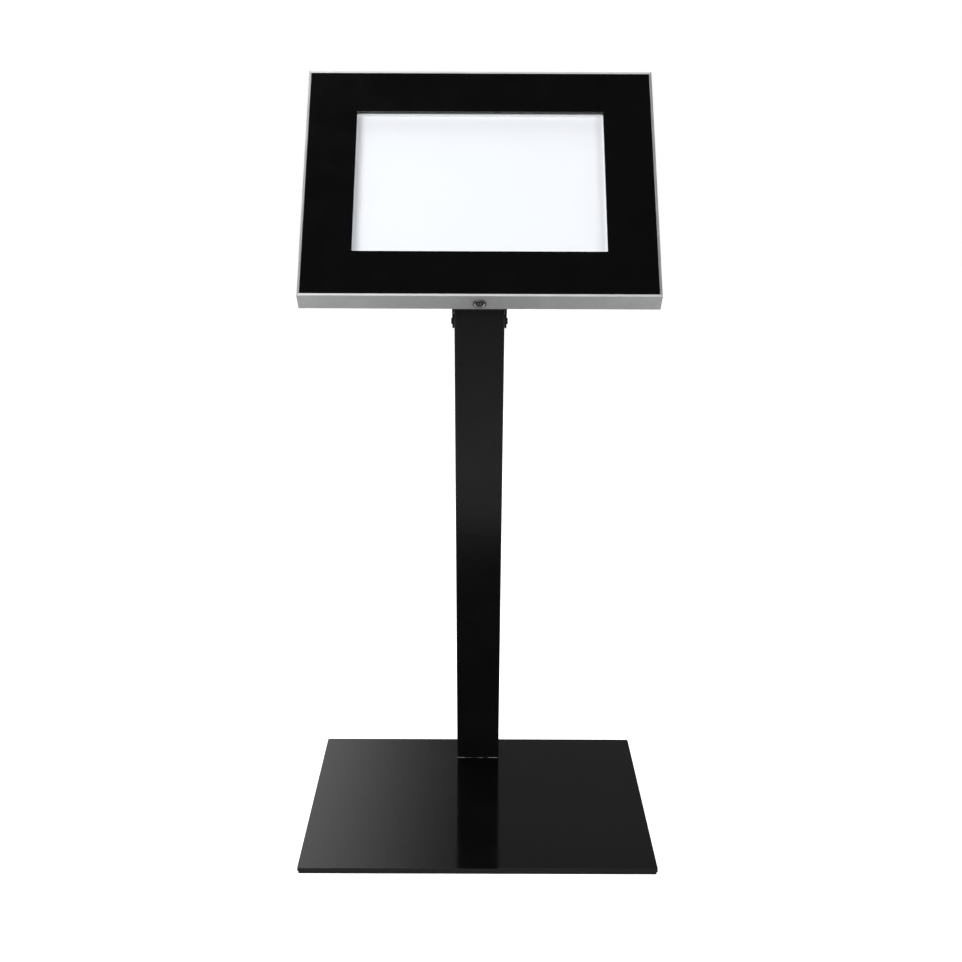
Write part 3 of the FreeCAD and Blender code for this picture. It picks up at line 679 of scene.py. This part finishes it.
def finished(name, bm, place, node, finish_name=None):
    """Sets a shape in place as the piece that stands for a CAD node, with its finish and body."""
    bm.transform(place)
    if not bm.faces:
        raise RuntimeError("no faces were made for " + name)
    open_edges = sum(1 for e in bm.edges if not e.is_manifold)
    if open_edges or bm.calc_volume(signed=True) <= 0:
        raise RuntimeError("%s is not a closed solid: %d open edges" % (name, open_edges))
    mesh = bpy.data.meshes.new(name)
    bm.to_mesh(mesh)
    bm.free()
    mesh.shade_smooth()
    mesh.set_sharp_from_angle(angle=SHARP)
    slot = frame["nodes"][node].data.materials[0].name
    mesh.materials.append(finish(finish_name or slot))
    piece = bpy.data.objects.new(name, mesh)
    bpy.context.scene.collection.objects.link(piece)
    piece.modifiers.new("even_shading", "WEIGHTED_NORMAL").keep_sharp = True
    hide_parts(node)
    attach(piece, frame["nodes"][node]["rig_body"])
    return piece


def softened_node(node, radius, finish_name=None, steps=3):
    """A CAD node's own shape with its sharp edges rounded."""
    return finished(node + "_soft", soften(traced(node), radius, steps), WORLD, node, finish_name)


def screw_set(name, node, place, outward, shape):
    """All the screws of a CAD node as one piece; shape(head radius, length) makes each one."""
    parts = [(shape(head, length), spot) for spot, head, length in screws_in(node, place, outward)]
    finished(name, gathered(parts), place, node)


def window_outline(margin, depth, corner):
    """The window's rectangle grown by a margin, as an outline at that depth."""
    low, high = room("glazing", CASE)
    trim = bpy.context.scene.stand_sizes.glass_overlap - margin
    grow = Vector((trim, trim, 0))
    start, end = low + grow, high - grow
    start.z = end.z = depth
    return start, end, corner


def flat_sheet(name, node, place, corner, edge, steps=2, holes=(), window=None):
    """A flat CAD node made new; window is the margin and corner of its opening, if it has one."""
    low, high = room(node, place)
    opening = window_outline(window[0], low.z, window[1]) if window else None
    finished(name, soften(cut_sheet(low, high, corner, opening, holes), edge, steps), place, node)


# ---------------------------------------------------------------- base
def make_base_plate(edge):
    """The plate's screw holes follow the screws' own shanks, which are half as wide as their heads."""
    low, high = room("base_plate", WORLD)
    head = lumps("foot_screws", WORLD)[0]
    shank_hole = (head[1].x - head[0].x) / 4 + 0.1 * MM
    holes = drilled("foot_screws", WORLD, shank_hole)
    bm = cut_sheet(low, high, BASE_CORNER, holes=holes)
    countersink(bm, holes, low.z, shank_hole)
    finished("base_plate_coated", soften(bm, edge, 4), WORLD, "base_plate", "base")


def make_under_parts():
    """The rubber under the plate, the gasket under the column, and the screws through both."""
    flat_sheet("rubber_underlay", "base_underlay", WORLD, UNDERLAY_CORNER, 0.5 * MM, 3,
               drilled("foot_screws", WORLD, FOOT_SCREW_ACCESS))
    flat_sheet("gasket_under_column", "foot_gasket", WORLD, SHEET_CORNER, 0.15 * MM,
               holes=drilled("foot_screws", WORLD, FOOT_SCREW_HOLE))
    screw_set("countersunk_foot_screws", "foot_screws", WORLD, -UP,
              lambda head, length: flat_screw(head, head / 2, length, 5 * MM))


# ---------------------------------------------------------------- column's pivots
def make_friction_washer(side, way):
    node = "friction_washer_" + side
    low, high = room(node, COLUMN)
    outer = (high.z - low.z) / 2
    half = (high.x - low.x) / 2
    bore = 2.6 * MM
    bm = spin_round([(bore, -half), (outer, -half), (outer, half), (bore, half)], closed=True)
    turn = (RIGHT * way).to_track_quat("Z", "Y").to_matrix().to_4x4()
    place = COLUMN @ Matrix.Translation((low + high) / 2) @ turn
    finished("nylon_" + node, soften(bm, 0.08 * MM, 2), place, node)


def make_pivot_bolt(side, way):
    node = "pivot_bolt_" + side
    shoulder_end = room("friction_washer_" + side, COLUMN)
    inner = min(abs(shoulder_end[0].x), abs(shoulder_end[1].x))
    for place, head, length in screws_in(node, COLUMN, RIGHT * way):
        seat = abs(place.translation.x) - 1.5 * MM
        bm = button_screw(head, 1.5 * MM, 2 * MM, length, 2.5 * MM, (2.5 * MM, seat - inner))
        finished("shoulder_" + node, bm, COLUMN @ place, node)


# ---------------------------------------------------------------- case
def make_back_panel():
    low, high = room("back_panel", CASE)
    rim_screws = drilled("back_panel_screws", CASE, PANEL_SCREW_HOLE)
    post_screws = drilled("board_standoff_screws", CASE, POST_SCREW_HOLE,
                          lambda start, end: start.z < high.z - 1 * MM)
    bolts = [hole for number in range(1, 5)
             for hole in drilled("bracket_bolt_%d" % number, CASE, BRACKET_BOLT_HOLE)]
    bm = cut_sheet(low, high, PANEL_CORNER, holes=rim_screws + post_screws + bolts)
    countersink(bm, rim_screws, low.z, PANEL_SCREW_SINK)
    countersink(bm, post_screws, low.z, POST_SCREW_SINK)
    finished("aluminium_back_panel", soften(bm, 0.12 * MM, 2), CASE, "back_panel")


# ---------------------------------------------------------------- sign package
def make_standoff_screws():
    """Half of the screws come from behind and half from the front, so each group turns its own way."""
    low, high = room("board_standoffs", CASE)
    split = (low.z + high.z) / 2
    parts = []
    for outward in (-UP, UP):
        for place, head, length in screws_in("board_standoff_screws", CASE, outward):
            if (place.translation.z - split) * outward.z > 5 * MM:
                parts.append((flat_screw(head, 2 * MM, length, 2.5 * MM), place))
    finished("countersunk_standoff_screws", gathered(parts), CASE, "board_standoff_screws")


def make_backing_board():
    low, high = room("backing_board", CASE)
    holes = drilled("board_standoff_screws", CASE, POST_SCREW_HOLE,
                    lambda start, end: end.z > high.z - 1 * MM)
    bm = cut_sheet(low, high, SHEET_CORNER, holes=holes)
    countersink(bm, holes, high.z, POST_SCREW_SINK)
    finished("rigid_backing_board", soften(bm, 0.2 * MM, 2), CASE, "backing_board")


def make_bumpers():
    parts = []
    for low, high in lumps("door_bumpers", CASE):
        radius = (high.x - low.x) / 2
        height = high.z - low.z
        crown = 1.5 * MM
        dome = [(radius - crown * (1 - math.cos(turn)), height - crown * (1 - math.sin(turn)))
                for turn in QUARTER_TURN]
        bm = spin_round([(0, 0), (radius, 0)] + dome + [(0, height)])
        middle = (low + high) / 2
        parts.append((bm, Matrix.Translation((middle.x, middle.y, low.z))))
    finished("rubber_door_bumpers", gathered(parts), CASE, "door_bumpers")


# ---------------------------------------------------------------- door
def make_door_panel(edge):
    low, high = room("door_panel", CASE)
    bm = cut_sheet(low, high, SHEET_CORNER, window=window_outline(0, low.z, WINDOW_CORNER))
    front = [e for e in bm.edges if all(abs(v.co.z - high.z) < 1e-6 for v in e.verts)
             and e.calc_face_angle() > SHARP]
    round_over(bm, front, edge, 4)
    finished("black_door_panel", bm, CASE, "door_panel")


def make_glazing():
    low, high = room("glazing", CASE)
    bm = soften(cut_sheet(low, high, SHEET_CORNER), 0.2 * MM, 2)
    bm.normal_update()
    for face in bm.faces:
        face.material_index = 0 if abs(face.normal.z) > 0.95 else 1
    piece = finished("window_glass", bm, CASE, "glazing")
    piece.data.materials.append(finish("glass_edge"))


def make_hinge_pin(side):
    node = "hinge_pin_" + side
    low, high = room(node, CASE)
    radius = (high.z - low.z) / 2
    half = (high.x - low.x) / 2
    tip = 0.3 * MM
    bm = spin_round([(0, -half), (radius - tip, -half), (radius, tip - half), (radius, half - tip),
                     (radius - tip, half), (0, half)], steps=PIN_STEPS)
    turn = RIGHT.to_track_quat("Z", "Y").to_matrix().to_4x4()
    finished("ground_" + node, bm, CASE @ Matrix.Translation((low + high) / 2) @ turn, node)


# ---------------------------------------------------------------- lock
def make_lock_housing():
    """The lock's turned body: a rounded face ring, a dished recess and a threaded barrel."""
    low, high = room("lock_housing", CASE)
    face = (high.z - low.z) / 2
    length = high.y - low.y
    barrel, bore, rim = 6 * MM, 4.55 * MM, 0.8 * MM
    groove = barrel - 0.35 * MM
    ring = face - 1.4 * MM
    seat = -2 * MM
    pitch = 1 * MM
    ridges = []
    for turn in range(int((length + seat) / pitch) - 1):
        start = -length + 0.5 * pitch + turn * pitch
        ridges += [(groove, start), (barrel, start + 0.5 * pitch)]
    rounded = [(face - rim * (1 - math.cos(turn)), rim * (math.sin(turn) - 1))
               for turn in QUARTER_TURN]
    profile = [(bore, -length), (barrel - 0.5 * MM, -length)] + ridges
    profile += [(groove, seat), (face - 0.3 * MM, seat), (face, seat + 0.3 * MM)]
    profile += rounded + [(face - 1.35 * MM, 0), (face - 1.7 * MM, -0.15 * MM)]
    profile += [(bore + 0.35 * MM, -0.95 * MM), (bore, -1.1 * MM)]
    bm = spin_round(profile, closed=True, steps=LOCK_STEPS)
    turn = (-BACK).to_track_quat("Z", "X").to_matrix().to_4x4()
    spot = Matrix.Translation((0, low.y, (low.z + high.z) / 2))
    # One turned body in two copies of one plating: the ring darker as painted shade, the dish brighter
    # to throw a painted glint in the recess.
    for part in bm.faces:
        middle = part.calc_center_median()
        reach = middle.xy.length
        in_dish = bore + 0.05 * MM < reach < ring and middle.z > -rim
        part.material_index = 0 if reach > ring else (1 if in_dish else 2)
    piece = finished("lock_body_turned", bm, CASE @ spot @ turn, "lock_housing", "lock_ring")
    piece.data.materials.append(finish("lock_dish"))
    piece.data.materials.append(finish("lock_black_nickel"))


# ---------------------------------------------------------------- sizes, finishes and studio settings
class StandSizes(PropertyGroup):
    """Small sizes of the stand that a maker may change."""

    base_edge: FloatProperty(name="Base edge", description="Radius of the base plate's rounded edge",
                             default=0.6 * MM, min=0.1 * MM, max=1.5 * MM, unit="LENGTH", precision=5)
    tube_edge: FloatProperty(name="Column edge", description="Extra rounding on the column's cut ends",
                             default=0.25 * MM, min=0.05 * MM, max=0.8 * MM, unit="LENGTH", precision=5)
    door_edge: FloatProperty(name="Door edge", description="Radius of the door's front edges",
                             default=0.35 * MM, min=0.1 * MM, max=1.0 * MM, unit="LENGTH", precision=5)
    rail_edge: FloatProperty(name="Rail edge", description="Rounding on the silver rails' edges",
                             default=0.12 * MM, min=0.02 * MM, max=0.18 * MM, unit="LENGTH", precision=5)
    glass_overlap: FloatProperty(name="Glass overlap", description="Glass hidden behind the door",
                                 default=12 * MM, min=4 * MM, max=20 * MM, unit="LENGTH", precision=4)


class StandFinishes(PropertyGroup):
    """The stand's colours."""

    stand_black: FloatVectorProperty(name="Stand black", description="Coat on base, column and bracket",
                                     default=(0.0045, 0.0045, 0.0048), subtype="COLOR", min=0, max=1)
    door_black: FloatVectorProperty(name="Door black", description="Lacquer on the door",
                                    default=(0.0016, 0.0016, 0.0018), subtype="COLOR", min=0, max=1)
    frame_silver: FloatVectorProperty(name="Frame silver", description="Anodised case rails",
                                      default=(0.70, 0.705, 0.71), subtype="COLOR", min=0, max=1)
    sign_white: FloatVectorProperty(name="Sign white", description="Blank sign sheet",
                                    default=(0.755, 0.75, 0.79), subtype="COLOR", min=0, max=1)
    rubber_black: FloatVectorProperty(name="Rubber black", description="Underlay and bumpers",
                                      default=(0.012, 0.012, 0.012), subtype="COLOR", min=0, max=1)


class StudioSettings(PropertyGroup):
    """Camera, lamps and floor."""

    lens: FloatProperty(name="Lens", description="Focal length in millimetres on a 36 mm sensor",
                        default=63.7, min=10, max=200)
    viewpoint: FloatVectorProperty(name="Viewpoint", description="Where the camera stands",
                                   default=(-0.0003, -2.1956, 0.9265), subtype="TRANSLATION")
    look_down: FloatProperty(name="Look down", description="Angle of the camera below level",
                             default=math.radians(12.162), subtype="ANGLE")
    swing: FloatProperty(name="Swing", description="Turn of the camera to the right",
                         default=math.radians(0.082), subtype="ANGLE")
    roll: FloatProperty(name="Roll", description="Tilt of the camera's right side upwards",
                        default=math.radians(0.225), subtype="ANGLE")
    floor_radius: FloatProperty(name="Floor radius", description="Size of the studio floor",
                                default=9.0, min=2, max=40, unit="LENGTH")
    key_power: FloatProperty(name="Key light", description="Power of the large soft lamp",
                             default=89.0, min=0, max=2000)
    fill_power: FloatProperty(name="Fill light", description="Power of the second soft lamp",
                              default=38.0, min=0, max=2000)
    top_power: FloatProperty(name="Top light", description="Power of the lamp overhead",
                             default=60.0, min=0, max=2000)


# ---------------------------------------------------------------- studio
def make_floor(radius):
    """White floor paper, evenly white to the eye. The stand mirrors it grey, with a painted shade that
    makes it darker in front of the base.
    """
    bm = bmesh.new()
    bmesh.ops.create_circle(bm, cap_ends=True, radius=radius, segments=128,
                            matrix=Matrix.Translation((0, 0, -0.05 * MM)))
    mesh = bpy.data.meshes.new("studio_floor")
    bm.to_mesh(mesh)
    bm.free()
    floor = bpy.data.objects.new("studio_floor", mesh)
    bpy.context.scene.collection.objects.link(floor)
    paper = Finish("floor_paper", 0.85, specular=0.1)
    # Painted shade: for all but camera rays the floor runs from 0.55 grey near the base to 0.16 grey
    # further in front. It stands for the case's shadow on the floor.
    where = paper.add("ShaderNodeSeparateXYZ", {})
    depth = paper.add("ShaderNodeMapRange", {"From Min": -0.62, "From Max": -0.3})
    paper.join(paper.place, where.inputs["Vector"])
    paper.join(where.outputs["Y"], depth.inputs["Value"])
    paper.colours(depth.outputs["Result"], grey(0.16), grey(0.55), 0.0, 1.0)
    paper.relief(paper.noise(900.0, 2.0), 0.02 * MM)
    lit = paper.add("ShaderNodeBsdfDiffuse", {"Color": (0.8, 0.8, 0.8, 1)})
    glow = paper.add("ShaderNodeEmission", {"Color": (1, 1, 1, 1), "Strength": 0.86})
    both = paper.add("ShaderNodeAddShader", {})
    eye = paper.add("ShaderNodeLightPath", {})
    blend = paper.add("ShaderNodeMixShader", {})
    paper.join(lit.outputs["BSDF"], both.inputs[0])
    paper.join(glow.outputs["Emission"], both.inputs[1])
    paper.join(eye.outputs["Is Camera Ray"], blend.inputs["Fac"])
    paper.join(paper.shader.outputs["BSDF"], blend.inputs[1])
    paper.join(both.outputs["Shader"], blend.inputs[2])
    paper.join(blend.outputs["Shader"], paper.tree.nodes["Material Output"].inputs["Surface"])
    paper.material.cycles.emission_sampling = "NONE"
    mesh.materials.append(paper.material)


def make_lamp(name, spot, aim, size, power):
    lamp = bpy.data.lights.new(name, "AREA")
    lamp.shape = "RECTANGLE"
    lamp.size, lamp.size_y = size
    lamp.energy = power
    made = bpy.data.objects.new(name, lamp)
    made.location = spot
    made.rotation_euler = (Vector(aim) - Vector(spot)).to_track_quat("-Z", "Y").to_euler()
    bpy.context.scene.collection.objects.link(made)


def make_surroundings():
    """A white backdrop for the eye, and soft studio walls that the stand's surfaces mirror."""
    world = bpy.data.worlds.new("studio")
    world.use_nodes = True
    bpy.context.scene.world = world
    nodes, links = world.node_tree.nodes, world.node_tree.links
    nodes.clear()

    def add(kind, feeds, **settings):
        """A node whose inputs are each fed by a plain value or by another node's output."""
        made = nodes.new("ShaderNode" + kind)
        for key, value in settings.items():
            setattr(made, key, value)
        for key, feed in feeds.items():
            if isinstance(feed, bpy.types.NodeSocket):
                links.new(feed, made.inputs[key])
            else:
                made.inputs[key].default_value = feed
        return made.outputs

    def ranged(value, low, high, start, end, kind="LINEAR"):
        feeds = {"Value": value, "From Min": low, "From Max": high, "To Min": start, "To Max": end}
        return add("MapRange", feeds, interpolation_type=kind)["Result"]

    way = add("SeparateXYZ", {"Vector": add("TexCoord", {})["Generated"]})
    height = add("ValToRGB", {"Fac": way["Z"]})["Color"]
    ramp = height.node.color_ramp
    ramp.interpolation = "EASE"
    ramp.elements[0].position, ramp.elements[0].color = 0.0, (*grey(0.62), 1)
    ramp.elements[1].position, ramp.elements[1].color = 0.85, (*grey(0.03), 1)
    ramp.elements.new(0.5).color = (*grey(0.70), 1)
    side = ranged(way["X"], -0.16, 0.02, 1.5, 0.17, "SMOOTHERSTEP")
    behind = ranged(way["Y"], 0.0, 0.5, 0.0, 1.0)
    share = add("Mix", {"Factor": behind, "A": 1.0, "B": side})["Result"]
    tone = add("VectorMath", {0: height, "Scale": share}, operation="SCALE")["Vector"]
    walls = add("Background", {"Color": tone})["Background"]
    backdrop = add("Background", {"Color": (1, 1, 1, 1)})["Background"]
    eye = add("LightPath", {})["Is Camera Ray"]
    blend = add("MixShader", {"Fac": eye, 1: walls, 2: backdrop})["Shader"]
    add("OutputWorld", {"Surface": blend})


def make_camera(studio):
    data = bpy.data.cameras.new("studio_camera")
    data.lens = studio.lens
    data.sensor_width = 36
    camera = bpy.data.objects.new("studio_camera", data)
    bpy.context.scene.collection.objects.link(camera)
    down, swing, roll = studio.look_down, studio.swing, studio.roll
    level = Vector((math.sin(swing), math.cos(swing), 0))
    ahead = level * math.cos(down) - UP * math.sin(down)
    side = Vector((math.cos(swing), -math.sin(swing), 0))
    over = side.cross(ahead)
    tilted = side * math.cos(roll) + over * math.sin(roll)
    camera.matrix_world = place_at(Vector(studio.viewpoint), tilted, -ahead)
    bpy.context.scene.camera = camera


# ---------------------------------------------------------------- operators
class STAND_OT_base(Operator):
    """Make the base plate, its rubber underlay, the column's gasket, plug and foot screws"""

    bl_idname = "sign_stand.base"
    bl_label = "Base"

    def execute(self, context):
        make_base_plate(context.scene.stand_sizes.base_edge)
        make_under_parts()
        softened_node("foot_plug", 0.2 * MM)
        return {"FINISHED"}


class STAND_OT_column(Operator):
    """Make the leaning column, its top cap and the two set screws in its foot"""

    bl_idname = "sign_stand.column"
    bl_label = "Column"

    def execute(self, context):
        softened_node("column_tube", context.scene.stand_sizes.tube_edge)
        softened_node("column_cap", 0.2 * MM)
        screw_set("foot_set_screws", "column_set_screws", COLUMN, BACK,
                  lambda head, length: button_screw(head, 2.2 * MM, 2.5 * MM, length, 3 * MM))
        return {"FINISHED"}


class STAND_OT_tilt_pivots(Operator):
    """Make both tilt pivots: threaded insert, friction washer and shoulder bolt"""

    bl_idname = "sign_stand.tilt_pivots"
    bl_label = "Tilt pivots"

    def execute(self, context):
        for side, way in (("right", 1), ("left", -1)):
            softened_node("pivot_insert_" + side, 0.1 * MM)
            make_friction_washer(side, way)
            make_pivot_bolt(side, way)
        return {"FINISHED"}


class STAND_OT_bracket(Operator):
    """Make the folded bracket behind the case with its four bolts and nuts"""

    bl_idname = "sign_stand.bracket"
    bl_label = "Bracket"

    def execute(self, context):
        softened_node("tilt_bracket", 0.3 * MM)
        for number in range(1, 5):
            bolt = "bracket_bolt_%d" % number
            screw_set("socket_" + bolt, bolt, CASE, -UP,
                      lambda head, length: button_screw(head, 2.75 * MM, 2.5 * MM, length, 3 * MM))
            softened_node("bracket_nut_%d" % number, 0.35 * MM)
        return {"FINISHED"}


class STAND_OT_case_frame(Operator):
    """Make the four mitred silver rails and the keys inside their corners"""

    bl_idname = "sign_stand.case_frame"
    bl_label = "Case frame"

    def execute(self, context):
        edge = context.scene.stand_sizes.rail_edge
        for side in ("bottom", "top"):
            softened_node("case_rail_" + side, edge, steps=2)
        for side in ("right", "left"):
            softened_node("case_rail_" + side, edge, "anodised_upright", 2)
        for number in range(1, 5):
            softened_node("corner_key_%d" % number, 0.3 * MM)
        return {"FINISHED"}


class STAND_OT_case_back(Operator):
    """Make the back panel and its countersunk screws"""

    bl_idname = "sign_stand.case_back"
    bl_label = "Case back"

    def execute(self, context):
        make_back_panel()
        screw_set("countersunk_panel_screws", "back_panel_screws", CASE, -UP,
                  lambda head, length: flat_screw(head, 1.5 * MM, length, 1.8 * MM))
        return {"FINISHED"}


class STAND_OT_sign(Operator):
    """Make the blank sign sheet, its white mount, backing board, standoffs and their screws"""

    bl_idname = "sign_stand.sign"
    bl_label = "Sign"

    def execute(self, context):
        flat_sheet("blank_sign_sheet", "sign_sheet", CASE, SHEET_CORNER, 0.2 * MM)
        flat_sheet("white_window_mount", "white_mount", CASE, SHEET_CORNER, 0.25 * MM, 3,
                   window=(MOUNT_MARGIN, SHEET_CORNER))
        make_backing_board()
        softened_node("board_standoffs", 0.3 * MM)
        make_standoff_screws()
        return {"FINISHED"}


class STAND_OT_door(Operator):
    """Make the black door, its glass and tape, the hinge pins and the rubber bumpers"""

    bl_idname = "sign_stand.door"
    bl_label = "Door"

    def execute(self, context):
        make_door_panel(context.scene.stand_sizes.door_edge)
        make_glazing()
        flat_sheet("foam_glazing_tape", "glazing_tape", CASE, SHEET_CORNER, 0.08 * MM,
                   window=(TAPE_MARGIN, SHEET_CORNER))
        for side in ("right", "left"):
            make_hinge_pin(side)
        make_bumpers()
        return {"FINISHED"}


class STAND_OT_lock(Operator):
    """Make the cam lock in the bottom rail and the keeper that it catches on the door"""

    bl_idname = "sign_stand.lock"
    bl_label = "Lock"

    def execute(self, context):
        make_lock_housing()
        softened_node("lock_nut", 0.4 * MM)
        softened_node("lock_core", 0.12 * MM)
        softened_node("lock_cam", 0.2 * MM)
        screw_set("cam_button_screw", "cam_screw", CASE, BACK,
                  lambda head, length: button_screw(head, 1.8 * MM, 1.5 * MM, length, 2 * MM))
        softened_node("door_keeper", 0.25 * MM)
        screw_set("keeper_button_screws", "door_keeper_screws", CASE, -UP,
                  lambda head, length: button_screw(head, 1.2 * MM, 1.5 * MM, length, 1.8 * MM))
        return {"FINISHED"}


class STAND_OT_studio(Operator):
    """Set up the floor, the soft lamps, the surroundings and the camera"""

    bl_idname = "sign_stand.studio"
    bl_label = "Studio"

    def execute(self, context):
        studio = context.scene.studio_settings
        make_floor(studio.floor_radius)
        make_surroundings()
        make_lamp("key_softbox", (-1.6, -2.7, 2.2), (0, 0, 0.6), (2.2, 1.4), studio.key_power)
        make_lamp("fill_softbox", (2.0, -2.6, 1.9), (0, 0, 0.6), (1.8, 1.3), studio.fill_power)
        make_lamp("top_softbox", (-0.5, 1.1, 3.0), (0, 0.2, 0.0), (2.4, 1.8), studio.top_power)
        make_camera(studio)
        context.scene.view_settings.view_transform = "Standard"
        return {"FINISHED"}


PIECE_OPERATORS = (STAND_OT_base, STAND_OT_column, STAND_OT_tilt_pivots, STAND_OT_bracket,
                   STAND_OT_case_frame, STAND_OT_case_back, STAND_OT_sign, STAND_OT_door,
                   STAND_OT_lock, STAND_OT_studio)


class STAND_PT_sidebar(Panel):
    """Lists the stand's sizes, colours and makers"""

    bl_idname = "STAND_PT_sidebar"
    bl_label = "Sign Stand"
    bl_space_type = "VIEW_3D"
    bl_region_type = "UI"
    bl_category = "Sign Stand"

    def draw(self, context):
        layout = self.layout
        for group in (context.scene.stand_sizes, context.scene.stand_finishes,
                      context.scene.studio_settings):
            box = layout.box()
            for key in type(group).__annotations__:
                box.prop(group, key)
        for operator in PIECE_OPERATORS:
            layout.operator(operator.bl_idname)


GROUPS = (("stand_sizes", StandSizes), ("stand_finishes", StandFinishes),
          ("studio_settings", StudioSettings))


def register():
    for name, group in GROUPS:
        bpy.utils.register_class(group)
        setattr(bpy.types.Scene, name, PointerProperty(type=group))
    for cls in (*PIECE_OPERATORS, STAND_PT_sidebar):
        bpy.utils.register_class(cls)


def unregister():
    for cls in (*PIECE_OPERATORS, STAND_PT_sidebar):
        bpy.utils.unregister_class(cls)
    for name, group in GROUPS:
        delattr(bpy.types.Scene, name)
        bpy.utils.unregister_class(group)


def main():
    register()
    bpy.ops.sign_stand.base()
    bpy.ops.sign_stand.column()
    bpy.ops.sign_stand.tilt_pivots()
    bpy.ops.sign_stand.bracket()
    bpy.ops.sign_stand.case_frame()
    bpy.ops.sign_stand.case_back()
    bpy.ops.sign_stand.sign()
    bpy.ops.sign_stand.door()
    bpy.ops.sign_stand.lock()
    bpy.ops.sign_stand.studio()
    bpy.context.view_layer.update()


if __name__ == "__main__":
    main()
